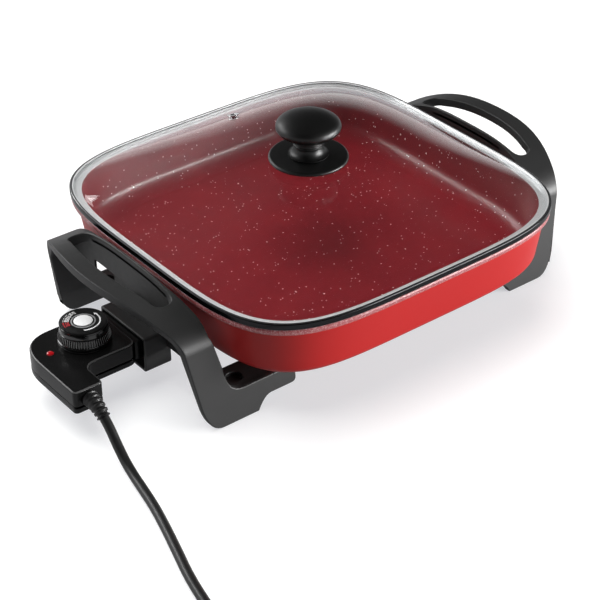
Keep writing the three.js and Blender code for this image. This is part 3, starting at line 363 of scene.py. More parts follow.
# Extrudes the selected ring and moves its copy to the next ring's places.
def growRing(piece, ring, order):
    bpy.ops.mesh.extrude_region_move()
    cage = openCage(piece)
    grown = []
    for index, spot in zip(order, ring):
        old = cage.verts[index]
        new = next(edge.other_vert(old) for edge in old.link_edges if edge.other_vert(old).select)
        new.co = spot
        grown.append(new)
    cage.verts.index_update()
    bmesh.update_edit_mesh(piece.data)
    return [vertex.index for vertex in grown]


def selectOnly(piece, indices):
    bpy.ops.mesh.select_all(action="DESELECT")
    cage = openCage(piece)
    for index in indices:
        cage.verts[index].select = True
    cage.select_flush(True)
    bmesh.update_edit_mesh(piece.data)


# Welds the open mesh, turns its faces outwards and closes it.
def facesOut():
    bpy.ops.mesh.select_all(action="SELECT")
    bpy.ops.mesh.remove_doubles(threshold=weldGap)
    bpy.ops.mesh.normals_make_consistent(inside=False)
    bpy.ops.object.mode_set(mode="OBJECT")


def smoothOver(piece, angle):
    activate(piece)
    bpy.ops.object.shade_smooth_by_angle(angle=math.radians(angle))


# A closed body through a list of rings: its ends capped, or its last ring joined to the first.
def ringBody(rings, endless=False, smoothAngle=angles["sharp"]):
    piece = startRing(rings[0])
    first = list(range(len(rings[0])))
    order = first
    for ring in rings[1:]:
        order = growRing(piece, ring, order)
    if endless:
        growRing(piece, rings[0], order)
    else:
        bpy.ops.mesh.edge_face_add()
        selectOnly(piece, first)
        bpy.ops.mesh.edge_face_add()
    facesOut()
    smoothOver(piece, smoothAngle)
    return piece


def superRing(halfX, halfY, power, height, steps, x=0.0, y=0.0):
    ring = []
    for step in range(steps):
        angle = 2 * math.pi * step / steps
        along = math.cos(angle)
        across = math.sin(angle)
        ring.append(Vector((
            x + halfX * math.copysign(abs(along) ** (2 / power), along),
            y + halfY * math.copysign(abs(across) ** (2 / power), across),
            height)))
    return ring


def roundRing(radius, height, steps, x=0.0, y=0.0):
    return superRing(radius, radius, 2, height, steps, x, y)


def between(first, second, share):
    return first + (second - first) * share


def curved(start, control, end, share):
    return start * (1 - share) ** 2 + control * 2 * share * (1 - share) + end * share ** 2


def sweep(start, control, end, steps):
    return [curved(Vector(start), Vector(control), Vector(end), step / steps) for step in range(steps + 1)]


# Rounds the inner corners of a line of points.
def soften(points, radius, steps=4, closed=False):
    spots = [Vector(point) for point in points]
    soft = []
    for index, spot in enumerate(spots):
        if not closed and index in (0, len(spots) - 1):
            soft.append(spot)
            continue
        before = spots[index - 1] - spot
        after = spots[(index + 1) % len(spots)] - spot
        reach = min(radius, before.length * cornerShare, after.length * cornerShare)
        soft += sweep(spot + before.normalized() * reach, spot, spot + after.normalized() * reach, steps)
    return soft


def turnedBody(profile, x, steps=96, endless=False, y=0.0):
    return ringBody([roundRing(radius, height, steps, x, y) for radius, height in profile], endless)


def applied(piece, kind, **settings):
    activate(piece)
    modifier = piece.modifiers.new(kind.lower(), kind)
    for name, value in settings.items():
        setattr(modifier, name, value)
    bpy.ops.object.modifier_apply(modifier=modifier.name)


def softEdges(piece, width, segments=3):
    applied(piece, "BEVEL", width=width, segments=segments, limit_method="ANGLE",
            angle_limit=math.radians(angles["sharp"]), use_clamp_overlap=False, miter_outer="MITER_ARC")
    smoothOver(piece, angles["soft"])
    applied(piece, "WEIGHTED_NORMAL", keep_sharp=True)


# A flat outline carried by a depth.
def slab(outline, depth, bevel=0.0, segments=3):
    piece = startRing(outline, "NGON")
    bpy.ops.mesh.extrude_region_move(TRANSFORM_OT_translate={"value": depth})
    facesOut()
    if bevel:
        softEdges(piece, bevel, segments)
    return piece


def joined(parts):
    activate(*parts)
    bpy.ops.object.join()
    return parts[0]


def boxLine(left, right, low, high):
    return [(left, low), (right, low), (right, high), (left, high)]


def moved(piece, matrix):
    piece.data.transform(matrix)
    return piece


# The control and the left handle are drawn on the right side and turned round.
rightSide = Matrix.Translation((centreX, 0, 0))
leftSide = rightSide @ Matrix.Rotation(math.pi, 4, "Z")


def settle(piece, name, body, slotName, nodes=(), finishes=()):
    piece.name = name
    piece.data.name = name
    piece.data.materials.clear()
    for finish in finishes or [looks[slotName]]:
        piece.data.materials.append(finish)
    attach(piece, body)
    if nodes:
        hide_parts(*nodes)


# Pan shell

panShape = {
    "lift": 0.042, "floor": 0.0045, "wall": 0.003, "depth": 0.0403,
    "baseHalf": (0.1385, 0.1385), "mouthHalf": (0.1465, 0.1445), "basePower": 4.8, "mouthPower": 4.4,
    "baseFillet": 0.008, "floorFillet": 0.013, "lipOut": 0.003, "lipHeight": 0.0044, "lipRound": 0.0014,
    "steps": 256, "filletSteps": 12, "postReach": 0.1, "postSide": 0.08, "postRadius": 0.0055, "postFoot": 0.0243,
}


def panRing(height, insetBy):
    shape = panShape
    share = (height - shape["lift"]) / shape["depth"]
    half = [between(low, high, share) - insetBy for low, high in zip(shape["baseHalf"], shape["mouthHalf"])]
    power = between(shape["basePower"], shape["mouthPower"], min(share, 1))
    return superRing(*half, power, height, shape["steps"], centreX)


def lipRing(outBy, height):
    half = [reach + outBy for reach in panShape["mouthHalf"]]
    return superRing(*half, panShape["mouthPower"], height, panShape["steps"], centreX)


def filletRings(height, wallInset, radius):
    turns = [math.pi / 2 * step / panShape["filletSteps"] for step in range(panShape["filletSteps"] + 1)]
    return [panRing(height + radius * (1 - math.cos(turn)), wallInset + radius * (1 - math.sin(turn)))
            for turn in turns]


def makePan():
    shape = panShape
    wall, out, rounding, steps = pick(shape, "wall", "lipOut", "lipRound", "steps")
    foot, radius = pick(shape, "postFoot", "postRadius")
    lipFoot = shape["lift"] + shape["depth"]
    lipTop = lipFoot + shape["lipHeight"]
    lip = soften([(0, lipFoot - rounding), (0, lipFoot), (out, lipFoot), (out, lipTop), (-wall, lipTop),
                  (-wall, lipTop - shape["lipHeight"])], rounding)
    rings = filletRings(shape["lift"], 0, shape["baseFillet"])
    rings.append(panRing(lipFoot - rounding * 2, 0))
    lipFrom = len(rings)
    rings += [lipRing(outBy, height) for outBy, height in lip]
    rings += reversed(filletRings(shape["lift"] + shape["floor"], wall, shape["floorFillet"]))
    shell = ringBody(rings)
    shellCount = len(shell.data.vertices)
    post = soften([(radius * 0.9, foot), (radius, foot + radius / 2), (radius, shape["lift"] + shape["floor"] / 2)],
                  radius / 4)
    posts = [turnedBody(post, centreX + signX * shape["postReach"], steps=32, y=signY * shape["postSide"])
             for signX, signY in ((1, 1), (1, -1), (-1, -1), (-1, 1))]
    body = joined([shell] + posts)
    settle(body, "panShell", "pan", "pan_enamel", ["pan_shell"], [looks["pan_enamel"], coatingLook, paintedLitLipLook])
    # The lip's outer and top faces get the lighter lip coating, which is painted light; the rest of the inside gets
    # the plain coating.
    paintedLitRimEnd = (lipFrom + len(lip) * 2 // 3) * steps
    for face in body.data.polygons:
        first = min(face.vertices)
        coated = first >= lipFrom * steps and max(face.vertices) < shellCount
        face.material_index = coated + (coated and first < paintedLitRimEnd)


makePan()
print("pan made")


# Lid: band, glass, vent, knob

lidShape = {
    "half": (0.15, 0.148), "power": 4.4, "steps": 256, "bandRound": 0.0011, "sheet": 0.0006,
    "topLip": 0.0026, "footLip": 0.008, "paintedReflectionFoot": 0.0004, "topLine": 0.0018, "paintedReflectionReaches": (0.0016, 0.0006),
    "glassInset": 0.0009, "glassEdgeFoot": 0.0879, "glassThick": 0.0032, "flange": 0.0044, "rise": 0.0245,
    "steepness": 2.6, "bore": 0.0045, "domeSteps": 36, "vent": (0.0135, 0.112), "ventFlange": 0.0046,
    "ventBore": 0.002, "ventLip": 0.0008, "ventClear": 0.00035,
}


def bandRing(insetBy, height):
    half = [reach - insetBy for reach in lidShape["half"]]
    return superRing(*half, lidShape["power"], height, lidShape["steps"], centreX)


# How far a point lies inside the band's outer face.
def lipDistance(spot):
    half = lidShape["half"]
    power = lidShape["power"]
    along = abs((spot.x - centreX) / half[0]) ** power + abs(spot.y / half[1]) ** power
    return half[0] * (1 - along ** (1 / power))


# Pale on top, with a painted grey reflection at the shoulder and a painted dark reflection down the outer face.
def makeBand():
    shape = lidShape
    sheet, footLip, topLip = pick(shape, "sheet", "footLip", "topLip")
    low, high = (corner.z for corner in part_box("lid_band"))
    outside = soften([(footLip, low), (0, low), (0, high), (topLip, high)], shape["bandRound"], 6)
    outside.insert(-1, Vector((shape["topLine"], high)))
    inside = [(topLip, high - sheet), (sheet * 2, high - sheet), (sheet, high - sheet * 2),
              (sheet, low + sheet * 2), (sheet * 2, low + sheet), (footLip, low + sheet)]
    band = ringBody([bandRing(insetBy, height) for insetBy, height in outside + inside], True)
    settle(band, "lidBand", "lid", "stainless", ["lid_band"], [paintedLitBandSteel, paintedGreyReflectionSteel, paintedDarkReflectionSteel])
    # Each face gets the pale, the painted grey or the painted dark reflection steel by how far it lies inside the
    # outer face; the foot stays pale.
    for face in band.data.polygons:
        reach = lipDistance(face.center) if face.center.z > low + shape["paintedReflectionFoot"] else footLip
        face.material_index = sum(reach < limit for limit in shape["paintedReflectionReaches"])


def domeHeight(share):
    return lidShape["glassEdgeFoot"] + lidShape["glassThick"] + lidShape["rise"] * (
        1 - share ** lidShape["steepness"])


def domeHalf():
    return [half - lidShape["glassInset"] - lidShape["flange"] for half in lidShape["half"]]


def domeRing(share, drop):
    half = [reach * share for reach in domeHalf()]
    power = 2 + (lidShape["power"] - 2) * share
    return superRing(*half, power, domeHeight(share) - drop, lidShape["steps"], centreX)


def makeGlassLid():
    shape = lidShape
    thick, foot, bore, steps = pick(shape, "glassThick", "glassEdgeFoot", "bore", "domeSteps")
    top = domeHeight(0)
    shares = [1 - (1 - bore / domeHalf()[0]) * step / steps for step in range(steps)]
    edge = [bandRing(shape["glassInset"], height) for height in (foot, foot + thick)]
    outer = [domeRing(share, 0) for share in shares]
    inner = [domeRing(share, thick) for share in reversed(shares)]
    mouth = [roundRing(bore, height, shape["steps"], centreX) for height in (top, top - thick)]
    glass = ringBody(edge + outer + mouth + inner, True, angles["glass"])
    settle(glass, "lidGlass", "lid", "lid_glass", ["lid_glass"])


def makeVent():
    shape = lidShape
    lip, flange, bore, thick, power = pick(shape, "ventLip", "ventFlange", "ventBore", "glassThick", "steepness")
    x, y = shape["vent"]
    half = domeHalf()
    share = max(x / half[0], y / half[1])
    slope = shape["rise"] * power * share ** (power - 1) / half[1]
    reach = thick / 2 + shape["ventClear"]
    end = reach + lip
    shaft = bore + lip * 0.8
    profile = soften([(bore, -end), (flange, -end), (flange, -reach), (shaft, -reach), (shaft, reach),
                      (flange, reach), (flange, end), (bore, end)], lip * 0.6, 4, True)
    vent = turnedBody(profile, 0, 48, True)
    place = Vector((centreX + x, y, domeHeight(share) - thick / 2))
    moved(vent, Matrix.Translation(place) @ Matrix.Rotation(-math.atan(slope), 4, "X"))
    settle(vent, "ventEyelet", "lid", "stainless", ["vent_eyelet"])


knobShape = {
    "collar": 0.0152, "collarRim": 0.0009, "collarHeight": 0.0065, "neck": 0.0106, "neckHeight": 0.0080,
    "neckRing": 0.0007, "head": 0.0242, "headHeight": 0.0184,
    "headShares": [(0.49, 0.0), (0.70, 0.087), (0.89, 0.222), (0.98, 0.358), (1.0, 0.466), (0.967, 0.602),
                   (0.861, 0.737), (0.647, 0.873), (0.404, 0.954), (0.168, 0.992), (0.01, 1.0)],
    "hub": 0.004, "footRound": 0.0004, "flare": (0.0010, 0.0006), "ringHeights": (0.0012, 0.0014, 0.0026, 0.0028),
    "neckRound": 0.0003, "skirtFoot": 0.011, "skirtEdge": (0.0029, 0.0046), "skirtTop": 0.0285,
    "skirtRound": 0.0007, "steps": 128,
}


# A smooth line through points, by the Catmull-Rom formula.
def smoothLine(points, steps):
    spots = [Vector(point) for point in points]
    spots = [spots[0] * 2 - spots[1]] + spots + [spots[-1] * 2 - spots[-2]]
    line = []
    for index in range(1, len(spots) - 2):
        before, start, end, after = spots[index - 1:index + 3]
        for step in range(steps):
            share = step / steps
            line.append(0.5 * (start * 2 + (end - before) * share
                               + (before * 2 - start * 5 + end * 4 - after) * share ** 2
                               + (start * 3 - before - end * 3 + after) * share ** 3))
    line.append(spots[-2])
    return line


def makeKnob():
    shape = knobShape
    hub, collar, neck, head = pick(shape, "hub", "collar", "neck", "head")
    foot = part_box("lid_knob")[0].z
    rim = foot + shape["collarRim"]
    flare = foot + shape["collarHeight"]
    under = flare + shape["neckHeight"]
    out, up = shape["flare"]
    proud = neck + shape["neckRing"]
    first, second, third, fourth = (flare + rise for rise in shape["ringHeights"])
    profile = soften([(hub, foot), (collar, foot), (collar, rim)], shape["footRound"])[:-1]
    profile += sweep((collar, rim), (neck + out, rim + up), (neck, flare), 10)
    profile += soften([(neck, flare), (neck, first), (proud, second), (proud, third), (neck, fourth), (neck, under),
                       (head * shape["headShares"][0][0], under)], shape["neckRound"], 3)[1:-1]
    profile += smoothLine([(head * across, under + shape["headHeight"] * rise)
                           for across, rise in shape["headShares"]], 6)
    settle(turnedBody(profile, centreX, shape["steps"]), "lidKnob", "lid", "knob_phenolic", ["lid_knob"])
    low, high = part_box("knob_skirt")
    radius = (high.x - low.x) / 2
    first, second = (low.z + height for height in shape["skirtEdge"])
    profile = soften([(hub, low.z), (shape["skirtFoot"], low.z), (radius, first), (radius, second),
                      (shape["skirtTop"], high.z), (hub, high.z)], shape["skirtRound"], 5)
    settle(turnedBody(profile, centreX, shape["steps"]), "knobSkirt", "lid", "knob_phenolic", ["knob_skirt"])


makeBand()
makeGlassLid()
makeVent()
makeKnob()
print("lid made")


# Handles: a crown with a slot, a leg at each end, shelves, guard, and the socket on the left one

handleShape = {
    "reach": 0.1975, "crown": 0.095, "archHalf": 0.09, "archDrop": 0.025, "archPower": 3, "plate": 0.007,
    "leg": 0.005, "legTopSide": 0.0885, "legTop": 0.064, "footSide": 0.097, "bendStart": 0.079,
    "bendControl": (0.0876, 0.071), "arcRadius": 0.185, "inner": 0.1585, "innerFlat": 0.042, "rootInner": 0.1535,
    "rootSide": 0.074, "slotInner": 0.1605, "slotOuter": 0.184, "slotHalf": 0.058, "slotEnd": 0.009,
    "slotClear": 0.004, "legOuterTop": (0.179, 0.071), "knee": (0.167, 0.019), "footCorner": 0.1625,
    "foot": (0.121, 0.151), "legInnerTop": (0.153, 0.071), "legInnerMid": (0.147, 0.046), "notchCorner": 0.145,
    "notchInner": 0.132, "shelfInner": 0.087, "shelfOuter": 0.143, "shelfTop": 0.024, "shelfThick": 0.004,
    "shelfSide": 0.066, "shelfCorner": 0.006, "shelfEdge": 0.0006, "skirtBottom": 0.010, "skirtRise": 0.109,
    "skirtCorner": 0.004, "holes": ((0.130, 0.006, 0.003), (0.100, 0.0025, 0.006)), "holeSide": 0.08,
    "guardThick": 0.002, "guardBottom": 0.0705, "guardEdge": 0.0006, "wing": (0.046, 0.050), "edge": 0.0009,
    "slotRows": 12, "tipRows": 6, "bendRows": 6, "guardSteps": 12, "holeSteps": 48,
}
socketShape = {
    "mouth": 0.169, "half": 0.028, "bottom": 0.0155, "top": 0.044, "wall": 0.0022, "edge": 0.0007, "corner": 0.0025,
    "web": (0.147, 0.150), "webHeights": (0.030, 0.046), "webEdge": 0.0004, "window": 0.021,
    "middleHalf": 0.038, "middleTop": 0.070, "middleLap": 0.002, "middleCorner": 0.004, "middleEdge": 0.0005,
}
bendEnd = handleShape["bendStart"] + handleShape["legTop"] / 3
sameSpot = 1e-6


def crownHeight(side):
    shape = handleShape
    return shape["crown"] - shape["archDrop"] * (abs(side) / shape["archHalf"]) ** shape["archPower"]


def legSide(height):
    return between(handleShape["footSide"], handleShape["legTopSide"], height / handleShape["legTop"])


# Side and height on the plate's outer face at a distance along it: crown, bend, then leg.
def outerFace(along):
    start, control, side, top = pick(handleShape, "bendStart", "bendControl", "legTopSide", "legTop")
    if along <= start:
        return along, crownHeight(along)
    if along <= bendEnd:
        share = (along - start) / (bendEnd - start)
        return curved(Vector((start, crownHeight(start))), Vector(control), Vector((side, top)), share)
    height = top - (along - bendEnd)
    return legSide(height), height


def innerFace(along):
    start, thick, plate, top = pick(handleShape, "bendStart", "leg", "plate", "legTop")
    low = Vector((handleShape["legTopSide"] - thick, top - thick))
    if along <= start:
        side = along * (start - thick) / start
        return side, crownHeight(side) - plate
    if along <= bendEnd:
        high = Vector((start - thick, crownHeight(start - thick) - plate))
        control = (high + low) / 2 + Vector((thick, thick)) * 0.4
        return curved(high, control, low, (along - start) / (bendEnd - start))
    height = top - (along - bendEnd)
    height -= thick * max(0.0, 1 - (along - bendEnd) / (top / 5))
    return between(handleShape["footSide"] - thick, low.x, height / low.y), height


def arcReach(insetBy, side):
    radius = handleShape["arcRadius"] - insetBy
    return handleShape["reach"] - handleShape["arcRadius"] + math.sqrt(radius ** 2 - side ** 2)


# The reach on a line between two (reach, height) points, and how far down the line it lies.
def lineReach(top, foot, height):
    share = (top[1] - height) / (top[1] - foot[1])
    return between(top[0], foot[0], share), share


def innerReach(along):
    flat, root, inner, rootInner, top = pick(
        handleShape, "innerFlat", "rootSide", "inner", "rootInner", "legInnerTop")
    if along <= flat:
        return inner
    if along <= root:
        return between(inner, rootInner, (along - flat) / (root - flat))
    height = outerFace(along)[1]
    return rootInner if height >= top[1] else lineReach(top, handleShape["legInnerMid"], height)[0]


def outerReach(along):
    side, height = outerFace(along)
    front, share = lineReach(handleShape["legOuterTop"], handleShape["knee"], height)
    return min(arcReach(0, side), front) if share > 0 else arcReach(0, side)


# Rows of (reach, along) in four columns: inner edge, slot's two edges, outer edge.
def crownRows():
    shape = handleShape
    slotInner, slotEnd, slotRows, tipRows, bendRows, bendStart = pick(
        shape, "slotInner", "slotEnd", "slotRows", "tipRows", "bendRows", "bendStart")
    tipStart = shape["slotHalf"] - slotEnd
    slotInset = shape["reach"] - shape["slotOuter"]
    rows = []
    for step in range(slotRows + 1):
        along = tipStart * step / slotRows
        rows.append([(innerReach(along), along), (slotInner, along),
                     (arcReach(slotInset, along), along), (outerReach(along), along)])
    endOuter = arcReach(slotInset, tipStart)
    middle = (endOuter + slotInner) / 2
    tipSpan = shape["rootSide"] - shape["slotClear"] - tipStart
    for step in range(1, tipRows + 1):
        share = step / tipRows
        spread = tipStart + tipSpan * share
        tip = tipStart + slotEnd * (2 * share - share ** 2)
        rows.append([(innerReach(spread), spread), (between(slotInner, middle, share ** 2), tip),
                     (between(endOuter, middle, share ** 2), tip), (outerReach(spread), spread)])
    stops = [between(tipStart + tipSpan, bendStart, share) for share in (0.35, 0.7, 1.0)]
    stops += [between(bendStart, bendEnd, step / bendRows) for step in range(1, bendRows + 1)]
    for along in stops:
        low, high = innerReach(along), outerReach(along)
        rows.append([(between(low, high, share), along) for share in (0, 1 / 3, 2 / 3, 1)])
    return rows


# Points of (reach, height) round a leg, from its outer top corner to its inner one.
def legOutline():
    shape = handleShape
    footIn, footOut = shape["foot"]
    inner, bottom, top, rise, corner = pick(
        shape, "shelfInner", "skirtBottom", "shelfTop", "skirtRise", "skirtCorner")
    outline = sweep(shape["knee"], (shape["footCorner"], 0), (footOut, 0), 8)
    outline += sweep((footIn, 0), ((rise + footIn) / 2, bottom), (rise, bottom), 6)
    outline += sweep((inner + corner, bottom), (inner, bottom), (inner, bottom + corner), 4)
    outline.append(Vector((inner, top)))
    outline += sweep((shape["notchInner"], top), (shape["notchCorner"], top), shape["legInnerMid"], 8)
    return outline


def faceLayers(cage):
    return [cage.verts.layers.float[name] for name in ("reach", "along")]


def setOnFace(vertex, layers, face):
    reach, along = (vertex[layer] for layer in layers)
    side, height = face(abs(along))
    vertex.co = (reach, math.copysign(side, along), height)


def placeOnFace(vertex, layers, spot):
    for layer, value in zip(layers, spot):
        vertex[layer] = value
    setOnFace(vertex, layers, outerFace)


def crownPlate():
    half = crownRows()
    rows = [[(reach, -along) for reach, along in row] for row in reversed(half[1:])] + half
    columns = len(rows[0])
    deselectAll()
    bpy.ops.mesh.primitive_grid_add(x_subdivisions=columns - 1, y_subdivisions=len(rows) - 1, size=1)
    piece = bpy.context.object
    bpy.ops.object.mode_set(mode="EDIT")
    cage = openCage(piece)
    layers = [cage.verts.layers.float.new(name) for name in ("reach", "along")]
    for vertex in cage.verts:
        placeOnFace(vertex, layers, rows[vertex.index // columns][vertex.index % columns])
        vertex.select = False
    slotRowsHalf = handleShape["slotRows"] + handleShape["tipRows"]
    middleRow = len(half) - 1
    for face in cage.faces:
        row, column = divmod(min(vertex.index for vertex in face.verts), columns)
        face.select = column == 1 and middleRow - slotRowsHalf <= row < middleRow + slotRowsHalf
    bmesh.update_edit_mesh(piece.data)
    bpy.ops.mesh.delete(type="FACE")
    bpy.ops.mesh.select_all(action="SELECT")
    bpy.ops.mesh.remove_doubles(threshold=sameSpot)
    for sign in (-1, 1):
        addLeg(piece, sign)
    bpy.ops.mesh.select_all(action="SELECT")
    bpy.ops.mesh.extrude_region_move()
    cage = openCage(piece)
    layers = faceLayers(cage)
    for vertex in cage.verts:
        if vertex.select:
            setOnFace(vertex, layers, innerFace)
    bmesh.update_edit_mesh(piece.data)
    facesOut()
    softEdges(piece, handleShape["edge"])
    return piece


# Draws a leg's outline point by point from the crown's end and fills it.
def addLeg(piece, sign):
    cage = openCage(piece)
    reachLayer, alongLayer = faceLayers(cage)
    end = [vertex for vertex in cage.verts if abs(vertex[alongLayer] - sign * bendEnd) < sameSpot]
    ring = [vertex.index for vertex in sorted(end, key=lambda vertex: vertex[reachLayer])]
    selectOnly(piece, ring[-1:])
    for reach, height in legOutline():
        bpy.ops.mesh.extrude_vertices_move()
        cage = openCage(piece)
        new = next(vertex for vertex in cage.verts if vertex.select)
        placeOnFace(new, faceLayers(cage), (reach, sign * (bendEnd + handleShape["legTop"] - height)))
        ring.append(new.index)
        bmesh.update_edit_mesh(piece.data)
    selectOnly(piece, ring)
    bpy.ops.mesh.edge_face_add()


def shelfPlate(sign):
    shape = handleShape
    inner, outer, side, top, thick = pick(
        shape, "shelfInner", "shelfOuter", "shelfSide", "shelfTop", "shelfThick")
    legMiddle = legSide(top) - shape["leg"] / 2
    outline = soften([(inner, legMiddle), (inner, side), (outer, side), (outer, legMiddle)],
                     shape["shelfCorner"], 6, True)
    plate = slab([(p.x, p.y * sign, top - thick) for p in outline], (0, 0, thick))
    for reach, radius, depth in shape["holes"]:
        drill(plate, (reach, shape["holeSide"] * sign, top), radius, depth)
    softEdges(plate, shape["shelfEdge"])
    return plate


def drill(piece, mouth, radius, depth):
    deselectAll()
    bpy.ops.mesh.primitive_cylinder_add(
        vertices=handleShape["holeSteps"], radius=radius, depth=depth * 2, location=mouth)
    cutter = bpy.context.object
    bpy.ops.object.transform_apply(location=True)
    applied(piece, "BOOLEAN", operation="DIFFERENCE", object=cutter, solver="EXACT")
    bpy.data.objects.remove(cutter)


# The skirt under the inner bar; a wing beside each leg closes the bend of the socket's handle.
def guardSkirt(winged):
    shape = handleShape
    half, bottom, steps = pick(shape, "bendStart", "guardBottom", "guardSteps")
    lower = [(half, bottom)]
    if winged:
        inner, wingBottom = shape["wing"]
        inLeg = [(legSide(height) - shape["leg"] / 2, height) for height in (wingBottom, bottom)]
        lower = [(inner, bottom), (inner, wingBottom)] + inLeg
    lower = [(-side, height) for side, height in reversed(lower)] + lower
    sides = [half * step / steps for step in range(steps, -steps - 1, -1)]
    upper = [(side, crownHeight(side) - shape["plate"] / 2) for side in sides]
    outline = [(shape["inner"], side, height) for side, height in lower + upper]
    return slab(outline, (shape["guardThick"], 0, 0), shape["guardEdge"])


# An upright rounded rectangle at a reach.
def uprightBox(reach, first, last, low, high, corner, steps):
    return [(reach, p.x, p.y) for p in soften(boxLine(first, last, low, high), corner, steps, True)]


def socketParts():
    shape = socketShape
    wall, half, top, corner = pick(shape, "wall", "half", "top", "corner")
    low, high = shape["web"]
    inner = (shape["bottom"] + wall, top - wall, corner * 0.6, 5)
    outside = (-half, half, shape["bottom"], top, corner, 5)
    inside = (wall - half, half - wall, *inner)
    window = (-shape["window"], shape["window"], *inner)
    rings = [(low, outside), (shape["mouth"], outside), (shape["mouth"], inside), (high, inside), (high, window),
             (low, window)]
    shroud = ringBody([uprightBox(reach, *box) for reach, box in rings], True)
    softEdges(shroud, shape["edge"], 2)
    foot, head = shape["webHeights"]
    webHalf = legSide(head) - handleShape["leg"] / 2
    parts = [shroud]
    for start, end, bottom in ((-webHalf, -half + wall, foot), (half - wall, webHalf, foot),
                               (-half, half, top - wall / 2)):
        outline = [(low, *spot) for spot in boxLine(start, end, bottom, head)]
        parts.append(slab(outline, (high - low, 0, 0), shape["webEdge"], 2))
    middle = uprightBox(low, -shape["middleHalf"], shape["middleHalf"], head - shape["middleLap"],
                        shape["middleTop"], shape["middleCorner"], 4)
    parts.append(slab(middle, (high - low, 0, 0), shape["middleEdge"], 2))
    return parts


def makeHandle(name, node, place, withSocket):
    parts = [crownPlate(), shelfPlate(1), shelfPlate(-1), guardSkirt(withSocket)]
    if withSocket:
        parts += socketParts()
    settle(moved(joined(parts), place), name, "pan", "handle_phenolic", [node])


makeHandle("handleRight", "handle_right", rightSide, False)
makeHandle("handleLeft", "handle_left", leftSide, True)
print("handles made")


# Temperature control: cover, base and lens, drawn on the right side and turned round

controlShape = {
    "top": 0.043, "bottom": 0.025, "split": 0.0295, "gap": 0.0003, "arm": 0.174, "armHalf": 0.026, "body": 0.217,
    "end": 0.240, "backCorner": (0.026, 0.030), "front": 0.050, "corner": 0.007, "innerCorner": 0.009, "edge": 0.0016,
    "edgeHighlightSlopes": (0.35, 0.92), "baseEdge": 0.0008, "bossHub": 0.004, "bossRadius": 0.019, "bossHeight": 0.0016,
    "bossSink": 0.001, "bossRound": 0.0006, "bossClear": 1.1, "dialPlace": 0.200, "lensPlace": 0.228,
    "lensRadius": 0.0026, "lensSink": 0.002, "lensHeights": (0.0002, 0.0009, 0.0012), "lensPole": 0.0001,
}


def housingOutline(height):
    shape = controlShape
    corner, half, end, body, arm, front = pick(shape, "corner", "armHalf", "end", "body", "arm", "front")
    spots = [((end, front), corner / 2), ((body, front), corner / 2), ((body, half), shape["innerCorner"]),
             ((arm, half), corner), ((arm, -half), corner)]
    along, across = shape["backCorner"]
    back = Vector((end, -half))
    outline = sweep(back - Vector((along, 0)), back, back + Vector((0, across)), 16)
    places = [outline[-1]] + [spot for spot, radius in spots] + [outline[0]]
    for index, (spot, radius) in enumerate(spots):
        outline += soften([places[index], spot, places[index + 2]], radius, 6)[1:-1]
    return [(p.x, p.y, height) for p in outline]


def makeControl():
    shape = controlShape
    top, hub, bossRadius, radius = pick(shape, "top", "bossHub", "bossRadius", "lensRadius")
    low = shape["split"] + shape["gap"]
    cover = slab(housingOutline(low), (0, 0, top - low))
    softEdges(cover, shape["edge"], 4)
    bossFoot, bossTop = top - shape["bossSink"], top + shape["bossHeight"]
    boss = soften(boxLine(hub, bossRadius, bossFoot, bossTop), shape["bossRound"], 3)
    cover = moved(joined([cover, turnedBody(boss, shape["dialPlace"])]), leftSide)
    settle(cover, "controlCover", "control", "control_plastic", ["control_cover"],
           [looks["control_plastic"], paintedEdgeHighlightLook])
    middle = Vector((centreX - shape["dialPlace"], 0, top))
    # Rounded top-edge faces clear of the dial's boss get the lighter moulding: a painted edge highlight.
    for face in cover.data.polygons:
        rounded = shape["edgeHighlightSlopes"][0] < face.normal.z < shape["edgeHighlightSlopes"][1]
        face.material_index = int(rounded and (face.center - middle).length > bossRadius * shape["bossClear"])
    base = slab(housingOutline(shape["bottom"]), (0, 0, shape["split"] - shape["bottom"]))
    softEdges(base, shape["baseEdge"], 3)
    settle(moved(base, leftSide), "controlBase", "control", "control_plastic", ["control_base"])
    edge, shoulder, crest = (top + height for height in shape["lensHeights"])
    lens = turnedBody(smoothLine([
        (radius, top - shape["lensSink"]), (radius, edge), (radius * 0.75, shoulder), (radius * 0.3, crest),
        (shape["lensPole"], crest)], 4), shape["lensPlace"], 40)
    settle(moved(lens, leftSide), "pilotLens", "control", "red_lens", ["pilot_lens"])


makeControl()
print("control made")


# Dial: knob with a ribbed ring, plate with numbers, silver ring and cap

